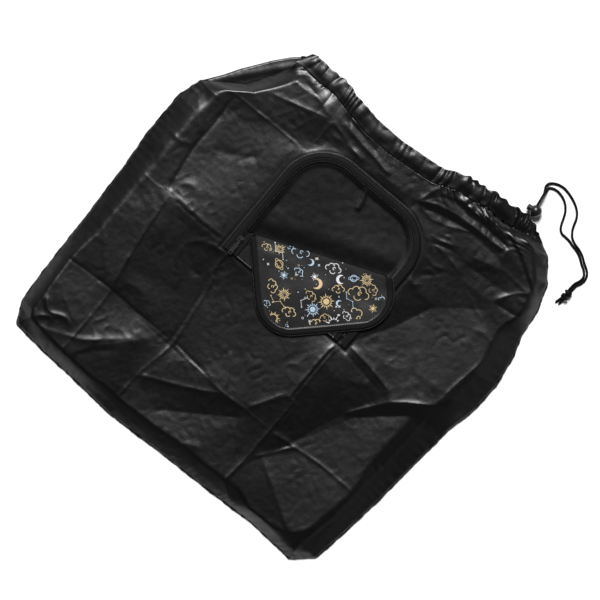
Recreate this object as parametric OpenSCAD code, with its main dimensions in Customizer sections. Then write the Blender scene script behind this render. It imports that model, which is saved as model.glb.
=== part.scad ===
// Travel laundry bag: a flat drawcord bag with a zip pocket on its front that the bag folds into.
// It lies on its back panel: +Y runs from the bottom seam to the mouth, +X to the bag's right.
// Origin: middle of the bag's outline, on the surface that it lies on. Millimetres.

/* [Bag panels] */
// Width of the bag, laid flat
bag_w = 558; // [500:1:680]
// Height of the bag from the bottom seam to the mouth, laid flat
bag_h = 540; // [480:1:660]
// Height of the front panel's top over the surface, where the bag lies fullest
loft = 24; // [20:0.5:32]
// Thickness that stands for each soft panel
panel_t = 1.2; // [0.8:0.1:2]
// Thickness of the seam allowance between the panels
seam_t = 1.2; // [0.8:0.1:2]
// Share of the bag's width taken by each side seam, and of its height by the bottom one
seam_share = 0.013; // [0.008:0.001:0.02]

/* [Drawcord hem] */
// Width of the hem that the drawcord runs in
hem_w = 24; // [18:0.5:30]
// Thickness of the hem's fabric
hem_wall = 0.8; // [0.5:0.1:1.5]
// How far each panel's edge is sewn into its hem
sew_in = 3; // [2:0.5:5]
// Clearance between the hem and the cord inside it
hem_clear = 0.4; // [0.2:0.1:1.5]
// Height between the two hems at the middle of the open mouth
mouth_gap = 10; // [8:0.5:14]
// Space between the two hems at the ends of the mouth
hem_space = 0.3; // [0.2:0.1:1]

/* [Drawcord] */
// Diameter of the drawcord
cord_d = 2.8; // [2:0.1:3.4]
// Space between the two strands inside the cord lock
strand_gap = 0.2; // [0.1:0.05:0.4]
// Diameter of the knot at the cord's end
knot_d = 12; // [10:0.5:15]

/* [Cord lock] */
// Diameter of the ball-shaped body
ball_d = 16; // [14.5:0.1:20]
// Diameter of the plunger
plunger_d = 8.2; // [7.8:0.1:9]
// Radial clearance between the plunger and its bore
plunger_clear = 0.1; // [0.05:0.01:0.1]
// How far the plunger can be pressed in
press_travel = 2.8; // [2.2:0.1:3.2]
// How far the plunger stands out of the ball
plunger_out = 5; // [4:0.1:7]
// Distance from the ball's middle to the cord hole, towards the plunger
hole_shift = 2.2; // [1.6:0.1:2.6]
// Clearance round the strands in the ball and in the plunger
strand_clear = 0.2; // [0.1:0.05:0.4]
// Thickness of the plunger behind its cord hole
web_t = 1.4; // [1:0.1:1.6]
// Wall of the ball behind the spring
back_wall = 2.6; // [2:0.1:3.4]
// Diameter of the spring's wire
wire_d = 0.5; // [0.3:0.05:0.5]
// Turns of the spring
spring_turns = 3; // [2:1:3]
// How far the lock can be drawn along the cord
lock_travel = 12; // [6:0.5:12]
// Angle between the lock's cord hole and the bag's long axis
lock_tilt = 9; // [0:1:15]

/* [Zip pocket] */
// Width of the pocket over its zip tape
pocket_w = 206; // [180:1:220]
// Height of the pocket over its zip tape
pocket_h = 189; // [170:1:200]
// Outer radius of the pocket's two upper corners
pocket_r = 60; // [45:1:70]
// Sideways place of the pocket's middle
pocket_x = -5; // [-15:1:15]
// Place of the pocket's sewn bottom edge along the bag
pocket_y = -13; // [-25:1:0]
// Width of the sewn strip that holds the tape and the flap's bottom edge to the bag
sewn_w = 4; // [3:0.5:5]

/* [Zip] */
// Width of each zip tape
tape_w = 9; // [7:0.5:12]
// Thickness of the zip tape
tape_t = 0.8; // [0.5:0.1:1.2]
// Width of each row of the zip's coil
coil_w = 1.6; // [1.2:0.1:2.4]
// Thickness of the zip's coil
coil_h = 1.6; // [1.2:0.1:2.4]
// Space between the two rows of the closed zip, for the slider's keel
coil_gap = 1.4; // [1.2:0.1:2]
// Height of the zip's bottom stop above the pocket's bottom edge
zip_start = 13; // [10:0.5:20]
// Length of the zip's stops
stop_l = 3; // [2:0.5:5]

/* [Zip slider] */
// Length of the slider
slider_l = 9; // [8:0.5:12]
// Width of the slider's two wings
slider_w = 8; // [7:0.5:9]
// Thickness of the slider's wings
wing_t = 0.6; // [0.5:0.1:0.9]
// Clearance round the slider's wings and keel
wing_clear = 0.2; // [0.1:0.05:0.3]
// Distance from the bottom stop to the slider when the zip is open
slider_park = 4; // [2:0.5:10]
// Diameter of the bar that the pull hangs on
bar_d = 1.4; // [1.2:0.1:1.8]
// Radial clearance between the bar and the pull
bar_clear = 0.08; // [0.05:0.01:0.1]
// Length of the pull
pull_l = 24; // [18:0.5:30]
// Width of the pull
pull_w = 6; // [5:0.5:7]
// Thickness of the pull
pull_t = 1.2; // [1:0.1:1.6]

/* [Pocket flap] */
// Thickness that stands for each of the flap's two layers
ply_t = 0.8; // [0.5:0.1:1.2]
// Angle of the diagonal that the flap is folded over on
fold_angle = 22.5; // [15:0.5:30]
// How far the fold line's left end lies from the pocket's outer left edge
fold_inset = 24; // [20:1:30]
// How far the fold line's left end lies above the pocket's bottom edge
fold_up = 41; // [38:1:45]
// Height between the flap's closed face and the axis that it turns on
fold_gap = 0.5; // [0.4:0.1:1]
// Distance from the fold line at which the stiff part of each side starts
fold_clear = 0.8; // [0.5:0.1:1.5]
// Sideways space between the open flap's left corner and the slider's path
corner_clear = 1; // [0.5:0.1:3]

/* [Hidden] */
$fn = 48;
// A little more than touching, so that cutters pass right through
over = 1;
CLOTH = "#232125";
TAPE = "#2a292c";
CORD = "#1b1b1d";
PLASTIC = "#3a3a3d";
METAL = "#4a4a4e";
PRINT = "#3a3430";

// The outline of the bag, drawn at 558 by 540 and stretched to the bag's own width and height
stretch = [bag_w / 558, bag_h / 540];
function sized(points) = [for (p = points) [p[0] * stretch[0], p[1] * stretch[1]]];
bottom_edge = sized([[-250, -262], [-200, -267], [-150, -269], [-83, -274], [0, -270], [90, -267],
  [150, -264], [218, -268]]);
left_edge = sized([[-250, -262], [-264, -232], [-267, -190], [-270, -100], [-274, -20], [-279, 40],
  [-279, 100], [-270, 133], [-250, 148], [-222, 167], [-200, 203], [-186, 233]]);
right_edge = sized([[218, -268], [243, -245], [250, -200], [257, -140], [262, -80], [268, -10],
  [277, 30], [279, 75], [272, 118], [262, 150], [258, 185], [245, 220], [222, 248], [192, 263]]);
front_hem_line = sized([[-178, 244], [-150, 242], [-125, 243], [-100, 237], [-60, 230], [-20, 229],
  [20, 233], [45, 236], [62, 243], [80, 250], [100, 252], [122, 258], [140, 257], [160, 260]]);
rear_hem_line = sized([[-172, 238], [-140, 234], [-100, 231], [-50, 226], [0, 224], [50, 229],
  [100, 240], [130, 248], [160, 256]]);
// Where the back panel stands out past the front one, beside the mouth
back_shoulder = sized([[-270, 133], [-252, 158], [-240, 178], [-215, 213], [-200, 231], [-186, 244]]);

// Heights of the layers
hem_h = cord_d + 2 * hem_clear + 2 * hem_wall;
rim_z = 2 * panel_t + seam_t;
lift = wing_t + 2 * wing_clear;
coil_z = loft + lift;
mid_z = coil_z + coil_h / 2;
flap_z = mid_z - ply_t;
fold_z = mid_z + ply_t + fold_gap;

// Shares of the front panel's grid: the rim, the slope, then the level middle that holds the pocket
rise_u = 0.25;
rise_v = 0.30;
level_v = 0.92;
grid_u = [0, seam_share, 0.05, 0.09, 0.13, 0.17, 0.21, rise_u, 0.33, 0.41, 0.5, 0.59, 0.67, 1 - rise_u,
  0.79, 0.83, 0.87, 0.91, 0.95, 1 - seam_share, 1];
grid_v = [0, seam_share, 0.06, 0.11, 0.16, 0.21, 0.25, rise_v, 0.4, 0.5, 0.6, 0.7, 0.8, 0.87, level_v, 0.94,
  0.96, 0.98, 1];

function smooth(t) = let (c = min(max(t, 0), 1)) c * c * (3 - 2 * c);
function last(list) = list[len(list) - 1];
function runs(p) = [for (i = 0, s = 0; i < len(p); s = s + norm(p[min(i + 1, len(p) - 1)] - p[i]), i = i + 1) s];
// The point at a share t of a line's length
function along(p, t) =
  let (s = runs(p), d = t * last(s), k = max([0, for (i = [0:len(s) - 2]) if (s[i] <= d) i]))
  p[k] + (d - s[k]) / (s[k + 1] - s[k]) * (p[k + 1] - p[k]);

function sewn(line) = [for (p = line) p - [0, hem_w / 2 - sew_in]];
mouth_edge = concat([last(left_edge)], sewn(front_hem_line), [last(right_edge)]);
// The share of the hem's length that a share of the mouth edge's length lies at
mouth_runs = runs(mouth_edge);
function hem_share(u) = let (n = len(mouth_runs))
  (u * mouth_runs[n - 1] - mouth_runs[1]) / (mouth_runs[n - 2] - mouth_runs[1]);
// A point of the front panel, from its four edges
function patch(u, v) =
  (1 - v) * along(bottom_edge, u) + v * along(mouth_edge, u)
  + (1 - u) * along(left_edge, v) + u * along(right_edge, v)
  - (1 - v) * ((1 - u) * bottom_edge[0] + u * last(bottom_edge))
  - v * ((1 - u) * mouth_edge[0] + u * last(mouth_edge));
function level(t, rise) = smooth((t - seam_share) / (rise - seam_share));
// Height of the front hem's middle: it lies on the rear hem at the mouth's ends and stands clear between
hem_slope = 0.22;
function hem_rise(s) = hem_h * 1.5 + hem_space + mouth_gap * smooth(min(s, 1 - s) / hem_slope);
function front_z(u, v) =
  let (body = rim_z + (loft - rim_z) * level(min(u, 1 - u), rise_u) * level(v, rise_v),
    w = smooth((v - level_v) / (1 - level_v)))
  (1 - w) * body + w * (hem_rise(hem_share(u)) + panel_t / 2);

// A closed sheet between a grid of upper points and a grid of lower ones
module sheet(upper, lower, rows, cols) {
  n = rows * cols;
  function at(r, c) = r * cols + c;
  function quad(a, b, c, d) = [[a, b, c], [a, c, d]];
  faces = concat(
    [for (r = [0:rows - 2], c = [0:cols - 2])
      each quad(at(r, c), at(r + 1, c), at(r + 1, c + 1), at(r, c + 1))],
    [for (r = [0:rows - 2], c = [0:cols - 2])
      each quad(n + at(r, c + 1), n + at(r + 1, c + 1), n + at(r + 1, c), n + at(r, c))],
    [for (c = [0:cols - 2]) each quad(at(0, c), at(0, c + 1), n + at(0, c + 1), n + at(0, c))],
    [for (c = [0:cols - 2], r = [rows - 1])
      each quad(at(r, c + 1), at(r, c), n + at(r, c), n + at(r, c + 1))],
    [for (r = [0:rows - 2]) each quad(at(r + 1, 0), at(r, 0), n + at(r, 0), n + at(r + 1, 0))],
    [for (r = [0:rows - 2], c = [cols - 1])
      each quad(at(r, c), at(r + 1, c), n + at(r + 1, c), n + at(r, c))]
  );
  polyhedron(concat(upper, lower), faces);
}

function tangent(path, i) =
  let (d = path[min(i + 1, len(path) - 1)] - path[max(i - 1, 0)]) d / norm(d);
// The points of a flat section, [sideways, up], set square to a path at each of its points
function swept(path, section) = [for (i = [0:len(path) - 1])
  let (t = tangent(path, i), side = cross(t, [0, 0, 1]) / norm(cross(t, [0, 0, 1])), up = cross(side, t))
  each [for (q = section) path[i] + q[0] * side + q[1] * up]];
function wall(rings, sides, base, out) = [for (r = [0:rings - 2], k = [0:sides - 1])
  let (a = base + r * sides + k, b = base + r * sides + (k + 1) % sides, c = b + sides, d = a + sides)
  each (out ? [[a, d, c], [a, c, b]] : [[a, c, d], [a, b, c]])];
function round_section(r, sides) = [for (k = [0:sides - 1]) r * [cos(k * 360 / sides), sin(k * 360 / sides)]];
function flat_section(w, h, sides) = [for (k = [0:sides - 1])
  let (a = k * 360 / sides) [w / 2 * sign(cos(a)) * sqrt(abs(cos(a))), h / 2 * sign(sin(a)) * sqrt(abs(sin(a)))]];

// A round cord or wire along a path
module cord(path, r, sides = 8) {
  n = len(path);
  polyhedron(swept(path, round_section(r, sides)), concat(
    wall(n, sides, 0, true),
    [[for (k = [0:sides - 1]) k]],
    [[for (k = [sides - 1:-1:0]) (n - 1) * sides + k]]
  ));
}

// A flattened sleeve along a path, open at both ends
module sleeve(path, w, h, skin, sides = 16) {
  n = len(path);
  m = n * sides;
  polyhedron(
    concat(swept(path, flat_section(w, h, sides)), swept(path, flat_section(w - 2 * skin, h - 2 * skin, sides))),
    concat(wall(n, sides, 0, true), wall(n, sides, m, false),
      [for (k = [0:sides - 1]) let (j = (k + 1) % sides) each [[k, j, m + j], [k, m + j, m + k]]],
      [for (k = [0:sides - 1], e = [(n - 1) * sides]) let (j = (k + 1) % sides)
        each [[e + j, e + k, m + e + k], [e + j, m + e + k, m + e + j]]])
  );
}

// ---- Bag ----
module back_panel() {
  mouth = sewn(rear_hem_line);
  upper_left = [for (p = left_edge) if (p[1] < back_shoulder[0][1]) p];
  outline = concat(bottom_edge, [for (i = [1:len(right_edge) - 1]) right_edge[i]],
    [for (i = [len(mouth) - 1:-1:0]) mouth[i]],
    [for (i = [len(back_shoulder) - 1:-1:0]) back_shoulder[i]],
    [for (i = [len(upper_left) - 1:-1:1]) upper_left[i]]);
  color(CLOTH) linear_extrude(panel_t) polygon(outline);
}

module front_panel() {
  upper = [for (v = grid_v, u = grid_u) let (p = patch(u, v)) [p[0], p[1], front_z(u, v)]];
  color(CLOTH) sheet(upper, [for (p = upper) p - [0, 0, panel_t]], len(grid_v), len(grid_u));
}

// The strips of folded fabric between the panels, along the sides and the bottom
module seam(points) {
  color(CLOTH) translate([0, 0, panel_t]) linear_extrude(seam_t) polygon(points);
}
module side_seam(outer, inner) {
  rows = [for (v = grid_v) if (v >= seam_share && v <= level_v) v];
  seam(concat([for (v = rows) patch(outer, v)], [for (i = [len(rows) - 1:-1:0]) patch(inner, rows[i])]));
}
module left_seam() { side_seam(0, seam_share); }
module right_seam() { side_seam(1, 1 - seam_share); }
module bottom_seam() {
  seam(concat([for (u = grid_u) patch(u, 0)], [for (i = [len(grid_u) - 1:-1:0]) patch(grid_u[i], seam_share)]));
}

hem_steps = 12;
function front_hem_at(s) = let (p = along(front_hem_line, s)) [p[0], p[1], hem_rise(s)];
function rear_hem_at(s) = let (p = along(rear_hem_line, s)) [p[0], p[1], hem_h / 2];
module front_hem() {
  color(CLOTH) sleeve([for (i = [0:hem_steps]) front_hem_at(i / hem_steps)], hem_w, hem_h, hem_wall);
}
module rear_hem() {
  color(CLOTH) sleeve([for (i = [0:hem_steps]) rear_hem_at(i / hem_steps)], hem_w, hem_h, hem_wall);
}

// ---- Cord lock ----
ball_r = ball_d / 2;
plunger_r = plunger_d / 2;
bore_r = plunger_r + plunger_clear;
pitch = cord_d + strand_gap;
pair_h = pitch + cord_d + 2 * strand_clear;
hole_w = cord_d + 2 * strand_clear;
// The plunger's hole is longer than the ball's by the press travel, and traps the cord at rest
slot_hi = -hole_shift + hole_w / 2;
slot_lo = slot_hi - hole_w - press_travel;
bore_end = ball_r - back_wall;
// The lock lies on the surface, just off the right end of the front hem
lock_at = concat(last(front_hem_line) + [13, 23], [ball_r]);
function in_lock(p) = lock_at
  + [p[0] * cos(lock_tilt) - p[1] * sin(lock_tilt), p[0] * sin(lock_tilt) + p[1] * cos(lock_tilt), p[2]];
module lock_frame() { translate(lock_at) rotate([0, 0, lock_tilt]) children(); }
module along_x(x0, x1, r) { translate([x0, 0, 0]) rotate([0, 90, 0]) cylinder(r = r, h = x1 - x0); }

module cord_lock_body() {
  color(PLASTIC) lock_frame() difference() {
    rotate([0, 90, 0]) rotate_extrude($fn = 96) difference() {
      circle(ball_r);
      translate([-ball_d, -ball_r]) square([ball_d, ball_d]);
      translate([-over, -ball_r - over]) square([over + bore_r, ball_r + over + bore_end]);
    }
    translate([-hole_shift - hole_w / 2, -ball_d, -pair_h / 2]) cube([hole_w, 2 * ball_d, pair_h]);
  }
}

module cord_lock_plunger() {
  tip = -ball_r - plunger_out;
  dome_r = ball_r + over;
  color(PLASTIC) lock_frame() difference() {
    intersection() {
      along_x(tip - over, slot_hi + web_t, plunger_r);
      union() {
        translate([tip + dome_r, 0, 0]) sphere(dome_r);
        along_x(-ball_r, slot_hi + web_t, plunger_r + over);
      }
    }
    translate([slot_lo, -ball_d, -pair_h / 2]) cube([slot_hi - slot_lo, 2 * ball_d, pair_h]);
  }
}

module cord_lock_spring() {
  spring_r = plunger_r - wire_d - plunger_clear;
  start = slot_hi + web_t + wire_d / 2;
  reach = bore_end - wire_d / 2 - start;
  steps = 16 * spring_turns;
  path = [for (i = [0:steps]) let (a = i * 360 / 16)
    [spring_r * sin(a), -spring_r * cos(a), start + reach * i / steps]];
  color(METAL) lock_frame() rotate([0, 90, 0]) cord(path, wire_d / 2, 6);
}

// ---- Drawcord ----
floor_z = cord_d / 2;
// Each strand's straight run through the lock, from the bag's edge to past the lock's travel
strand_start = -ball_r - 0.7;
strand_end = ball_r + lock_travel + 3;
function strand(y, side) = in_lock([-hole_shift, y, side * pitch / 2]);
// Bends from the hems' right ends to the lock, [x, y] from the lock's middle
front_bend = [[-9, -21.5], [-4, -18.5], [-1.2, -13.5]];
rear_bend = [[-6.5, -25], [-1.5, -20.5], [-0.2, -14.5]];
// Routes of the free strands from the lock to the knot: [x, y] from the lock's middle, and how
// high the cord lies over the surface
outer_route = [[-7.7, 27.5, 6.6], [-10.5, 33, 3.6], [-9.8, 38.3, 1.2], [-5.5, 42.5, 0], [1, 45.6, 0],
  [9, 46.8, 0], [18, 45.5, 0], [27, 42.7, 0], [36, 38.3, 0], [42.5, 33, 0], [46.7, 27, 0], [49.3, 20, 0],
  [52, 13, 0], [56, 7, 0], [60, 3.2, 0], [67, 0, 0], [75, -2, 0], [83, -5.2, 0], [92, -11.2, 0],
  [99, -15.4, 0], [104, -20, 0], [106.6, -27, 0], [105.6, -34.5, 0], [103, -40, 0], [102.3, -46.5, 0],
  [102, -54, 0]];
inner_route = [[-5.8, 27.5, 3.4], [-6.5, 31.5, 1.4], [-5, 35, 0.2], [0, 37.6, 0], [7, 38.2, 0], [16, 36, 0],
  [23.5, 31.6, 0], [29.5, 25, 0], [33.5, 17, 0], [36.5, 9, 0], [40, 3, 0], [45, -0.4, 0], [51, -0.8, 0],
  [58, -1.4, 0], [65, -3.4, 0], [73, -5, 0], [81.5, -8.5, 0], [90, -14.4, 0], [96.5, -18.2, 0],
  [101, -22.5, 0], [103, -27.5, 0], [102.2, -33.5, 0], [99.8, -39.4, 0], [99, -46.5, 0], [99, -54, 0]];
knot_at = [100.5, -58];
tip_routes = [[[99, -62, 0], [97.5, -67, 0], [96, -73, 0]], [[102, -62, 0], [101.2, -67, 0], [100.5, -72, 0]]];
function laid(route) = [for (p = route) [lock_at[0] + p[0], lock_at[1] + p[1], floor_z + p[2]]];
function bend(points, from, to) = [for (i = [0:len(points) - 1])
  let (w = (i + 1) / (len(points) + 1))
  [lock_at[0] + points[i][0], lock_at[1] + points[i][1], (1 - w) * from + w * to]];

module drawcord() {
  front_end = front_hem_at(0);
  rear_end = rear_hem_at(0);
  half = (front_end + rear_end) / 2;
  front_z1 = front_hem_at(1)[2];
  start_hi = strand(strand_start, 1);
  start_lo = strand(strand_start, -1);
  back = bend(front_bend, front_z1, start_hi[2]);
  path = concat(
    [start_hi], [for (i = [len(back) - 1:-1:0]) back[i]],
    [for (i = [hem_steps:-1:0]) front_hem_at(i / hem_steps)],
    [front_end + [-6, -0.5, -0.8], half + [-13, 0, 0], rear_end + [-12, 0.5, 0.5], rear_end + [-6, 0, 0]],
    [for (i = [0:hem_steps]) rear_hem_at(i / hem_steps)],
    bend(rear_bend, hem_h / 2, start_lo[2]), [start_lo]
  );
  color(CORD) cord(path, cord_d / 2);
}
module cord_tail_outer() {
  color(CORD) cord(concat([strand(strand_start, 1), strand(strand_end, 1)], laid(outer_route)), cord_d / 2);
}
module cord_tail_inner() {
  color(CORD) cord(concat([strand(strand_start, -1), strand(strand_end, -1)], laid(inner_route)), cord_d / 2);
}
module cord_knot() {
  color(CORD) translate([lock_at[0] + knot_at[0], lock_at[1] + knot_at[1], knot_d / 2]) sphere(d = knot_d);
}
module cord_tips() {
  color(CORD) for (route = tip_routes) cord(laid(route), cord_d / 2);
}

// ---- Zip pocket ----
left_x = pocket_x - pocket_w / 2;
right_x = pocket_x + pocket_w / 2;
top_y = pocket_y + pocket_h;
// Distances inwards from the pocket's outer edge
coil_in = tape_w;
keel_in = coil_in + coil_w;
flap_coil_in = keel_in + coil_gap;
flap_tape_in = flap_coil_in + coil_w;
flap_in = flap_tape_in + tape_w;
zip_y = pocket_y + zip_start;
fold_at = [left_x + fold_inset, pocket_y + fold_up];

// The pocket's outline, moved inwards by d, with its straight lower edge at y
function pocket_outline(d, y) = concat([[left_x + d, y], [right_x - d, y]],
  [for (a = [0:6:90]) [right_x - pocket_r, top_y - pocket_r] + (pocket_r - d) * [cos(a), sin(a)]],
  [for (a = [90:6:180]) [left_x + pocket_r, top_y - pocket_r] + (pocket_r - d) * [cos(a), sin(a)]]);
// A strip of the outline between two distances in, down to y
module band(d0, d1, y) {
  difference() {
    polygon(pocket_outline(d0, y));
    polygon(pocket_outline(d1, y - over));
  }
}
// Keeps what lies on one side of the fold line: 1 the folding side, -1 the side sewn down
module beside_fold(side) {
  reach = pocket_w + pocket_h;
  // The folding side leaves out its corner over the slider's path
  start = side > 0 ? (keel_x + slider_w / 2 + corner_clear - fold_at[0]) / cos(fold_angle) : -reach;
  intersection() {
    children();
    translate(fold_at) rotate(fold_angle)
      translate([start, side > 0 ? fold_clear : -fold_clear - reach]) square([2 * reach, reach]);
  }
}
module layer(z, h) { translate([0, 0, z]) linear_extrude(h) children(); }
// Turns the closed flap half a turn about the fold, to where it lies open
module folded() {
  translate([fold_at[0], fold_at[1], fold_z]) rotate([0, 0, fold_angle]) rotate([180, 0, 0])
    rotate([0, 0, -fold_angle]) translate([-fold_at[0], -fold_at[1], -fold_z]) children();
}

module zip_tape_pocket() {
  color(TAPE) union() {
    layer(loft, mid_z + tape_t / 2 - loft) band(0, sewn_w, pocket_y);
    layer(mid_z - tape_t / 2, tape_t) band(sewn_w, tape_w, pocket_y);
  }
}
module zip_coil_pocket() { color(METAL) layer(coil_z, coil_h) band(coil_in, keel_in, zip_y); }
module zip_tape_root() {
  color(TAPE) layer(mid_z - tape_t / 2, tape_t) beside_fold(-1) band(flap_tape_in, flap_in, pocket_y);
}
module zip_coil_root() { color(METAL) layer(coil_z, coil_h) beside_fold(-1) band(flap_coil_in, flap_tape_in, zip_y); }
module flap_root_shell() {
  color(CLOTH) layer(mid_z, ply_t) beside_fold(-1) polygon(pocket_outline(flap_in, pocket_y));
}
module flap_root_lining() {
  color(PRINT) union() {
    layer(flap_z, ply_t) beside_fold(-1) polygon(pocket_outline(flap_in, pocket_y));
    translate([left_x + flap_in, pocket_y, loft]) cube([pocket_w - 2 * flap_in, sewn_w, flap_z - loft]);
  }
}
module flap_shell() {
  color(CLOTH) folded() layer(mid_z, ply_t) beside_fold(1) polygon(pocket_outline(flap_in, pocket_y));
}
module flap_lining() {
  color(PRINT) folded() layer(flap_z, ply_t) beside_fold(1) polygon(pocket_outline(flap_in, pocket_y));
}
module zip_tape_flap() {
  color(TAPE) folded() layer(mid_z - tape_t / 2, tape_t) beside_fold(1) band(flap_tape_in, flap_in, pocket_y);
}
module zip_coil_flap() {
  color(METAL) folded() layer(coil_z, coil_h) beside_fold(1) band(flap_coil_in, flap_tape_in, zip_y);
}

// ---- Zip stops and slider ----
chain_w = 2 * coil_w + coil_gap;
module zip_bottom_stop() {
  color(METAL) translate([left_x + coil_in, zip_y - stop_l, coil_z]) cube([chain_w, stop_l, coil_h]);
}
module zip_top_stops() {
  color(METAL) for (d = [keel_in, flap_tape_in])
    translate([right_x - d, zip_y - stop_l, coil_z]) cube([coil_w, stop_l, coil_h]);
}

keel_x = left_x + keel_in + coil_gap / 2;
keel_t = coil_gap - 2 * wing_clear - 0.2;
slider_y = zip_y + slider_park;
low_wing_z = loft + wing_clear;
high_wing_z = coil_z + coil_h + wing_clear;
top_z = high_wing_z + wing_t;
barrel_r = bar_d / 2 + bar_clear + 0.6;
bar_z = top_z + barrel_r + wing_clear;
barrel_l = slider_w / 2;
post_t = 1;
bar_y = slider_y + slider_l / 2;
module zip_slider() {
  color(METAL) union() {
    for (z = [low_wing_z, high_wing_z])
      translate([keel_x - slider_w / 2, slider_y, z]) cube([slider_w, slider_l, wing_t]);
    translate([keel_x - keel_t / 2, slider_y, low_wing_z]) cube([keel_t, slider_l, high_wing_z - low_wing_z + wing_t]);
    for (side = [-1, 1])
      translate([keel_x + side * (barrel_l / 2 + bar_clear + post_t / 2) - post_t / 2, bar_y - barrel_r, high_wing_z])
        cube([post_t, 2 * barrel_r, bar_z + bar_d - high_wing_z]);
    translate([keel_x - barrel_l / 2 - post_t, bar_y, bar_z]) rotate([0, 90, 0])
      cylinder(d = bar_d, h = barrel_l + 2 * post_t);
  }
}
module zip_pull() {
  hole_d = pull_w / 2;
  color(METAL) difference() {
    union() {
      translate([keel_x - barrel_l / 2, bar_y, bar_z]) rotate([0, 90, 0]) cylinder(r = barrel_r, h = barrel_l);
      translate([keel_x - barrel_l / 2, bar_y - slider_l, bar_z - pull_t / 2]) cube([barrel_l, slider_l, pull_t]);
      translate([keel_x - pull_w / 2, bar_y - pull_l + pull_w / 2, bar_z - pull_t / 2])
        cube([pull_w, pull_l - pull_w / 2 - slider_l + over, pull_t]);
      translate([keel_x, bar_y - pull_l + pull_w / 2, bar_z - pull_t / 2]) cylinder(d = pull_w, h = pull_t);
    }
    translate([keel_x - barrel_l, bar_y, bar_z]) rotate([0, 90, 0]) cylinder(r = bar_d / 2 + bar_clear, h = 2 * barrel_l);
    translate([keel_x, bar_y - pull_l + pull_w / 2, bar_z - pull_t]) cylinder(d = hole_d, h = 2 * pull_t);
  }
}

back_panel();
front_panel();
left_seam();
right_seam();
bottom_seam();
front_hem();
rear_hem();
drawcord();
cord_tail_outer();
cord_tail_inner();
cord_knot();
cord_tips();
cord_lock_body();
cord_lock_plunger();
cord_lock_spring();
zip_tape_pocket();
zip_coil_pocket();
flap_root_shell();
flap_root_lining();
zip_tape_root();
zip_coil_root();
flap_shell();
flap_lining();
zip_tape_flap();
zip_coil_flap();
zip_slider();
zip_pull();
zip_bottom_stop();
zip_top_stops();
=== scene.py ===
"""Looks of the travel laundry bag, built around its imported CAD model. Metres, in the CAD's own frame."""
import math

import bpy
import numpy as np
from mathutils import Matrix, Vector
from mathutils.geometry import delaunay_2d_cdt


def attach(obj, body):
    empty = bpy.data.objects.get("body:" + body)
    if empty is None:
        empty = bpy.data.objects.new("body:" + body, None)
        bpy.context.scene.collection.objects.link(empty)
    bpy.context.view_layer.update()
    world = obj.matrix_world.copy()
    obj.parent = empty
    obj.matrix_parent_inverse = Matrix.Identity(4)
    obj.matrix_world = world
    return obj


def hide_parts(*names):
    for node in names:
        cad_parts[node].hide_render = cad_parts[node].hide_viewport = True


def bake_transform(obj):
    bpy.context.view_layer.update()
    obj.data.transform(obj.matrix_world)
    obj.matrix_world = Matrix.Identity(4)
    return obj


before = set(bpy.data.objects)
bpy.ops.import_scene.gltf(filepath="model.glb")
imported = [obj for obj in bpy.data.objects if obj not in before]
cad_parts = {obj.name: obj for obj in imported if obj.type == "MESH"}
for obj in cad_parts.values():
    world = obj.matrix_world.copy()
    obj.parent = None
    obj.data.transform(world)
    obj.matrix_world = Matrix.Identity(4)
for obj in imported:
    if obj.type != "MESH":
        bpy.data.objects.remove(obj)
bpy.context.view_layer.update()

MM = 0.001
CLOTH = 0.35                        # thickness of the panels' cloth, in millimetres

# ---------------------------------------------------------------- sizes, in millimetres, as in the CAD
CORD_D = 2.8
HEM_W, HEM_H = 24.0, 5.2
RIM_Z = 3.6                         # height of the front panel's edge at the seams
FOLD_ANGLE = math.radians(22.5)
FOLD_AT = np.array([-84.0, 28.0])   # a point on the flap's fold line, at its left
ALONG_FOLD = np.array([math.cos(FOLD_ANGLE), math.sin(FOLD_ANGLE)])
ACROSS_FOLD = np.array([-math.sin(FOLD_ANGLE), math.cos(FOLD_ANGLE)])
FOLD_Z, MID_Z = 27.1, 25.8          # heights of the fold line and of the zip's middle
POCKET_L, POCKET_R, POCKET_B, POCKET_T = -108.0, 98.0, -13.0, 176.0
POCKET_RADIUS = 60.0
LOCK_AT = np.array([173.0, 283.0, 8.0])
LOCK_TILT = math.radians(9.0)

# The outline of the bag, and the hems' middle lines
BOTTOM = [(-250, -262), (-200, -267), (-150, -269), (-83, -274), (0, -270), (90, -267), (150, -264),
          (218, -268)]
LEFT = [(-250, -262), (-264, -232), (-267, -190), (-270, -100), (-274, -20), (-279, 40), (-279, 100),
        (-270, 133), (-250, 148), (-222, 167), (-200, 203), (-186, 233)]
RIGHT = [(218, -268), (243, -245), (250, -200), (257, -140), (262, -80), (268, -10), (277, 30), (279, 75),
         (272, 118), (262, 150), (258, 185), (245, 220), (222, 248), (192, 263)]
FRONT_HEM = [(-178, 244), (-150, 242), (-125, 243), (-100, 237), (-60, 230), (-20, 229), (20, 233), (45, 236),
             (62, 243), (80, 250), (100, 252), (122, 258), (140, 257), (160, 260)]
REAR_HEM = [(-172, 238), (-140, 234), (-100, 231), (-50, 226), (0, 224), (50, 229), (100, 240), (130, 248),
            (160, 256)]
SHOULDER = [(-270, 133), (-252, 158), (-240, 178), (-215, 213), (-200, 231), (-186, 244)]


# ---------------------------------------------------------------- small helpers
def smooth(t):
    t = np.clip(t, 0, 1)
    return t * t * (3 - 2 * t)


def curve(points, per_span=12):
    """A smooth line through given points."""
    p = np.array(points, float)
    p = np.vstack([2 * p[0] - p[1], p, 2 * p[-1] - p[-2]])
    t = np.linspace(0, 1, per_span, endpoint=False)[:, None]
    out = [0.5 * (2 * b + (c - a) * t + (2 * a - 5 * b + 4 * c - d) * t**2 + (3 * b - a - 3 * c + d) * t**3)
           for a, b, c, d in zip(p, p[1:], p[2:], p[3:])]
    return np.vstack(out + [p[-2][None]])


def run_of(line):
    """How far along a line each of its points lies."""
    return np.concatenate([[0], np.cumsum(np.linalg.norm(np.diff(line, axis=0), axis=1))])


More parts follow.
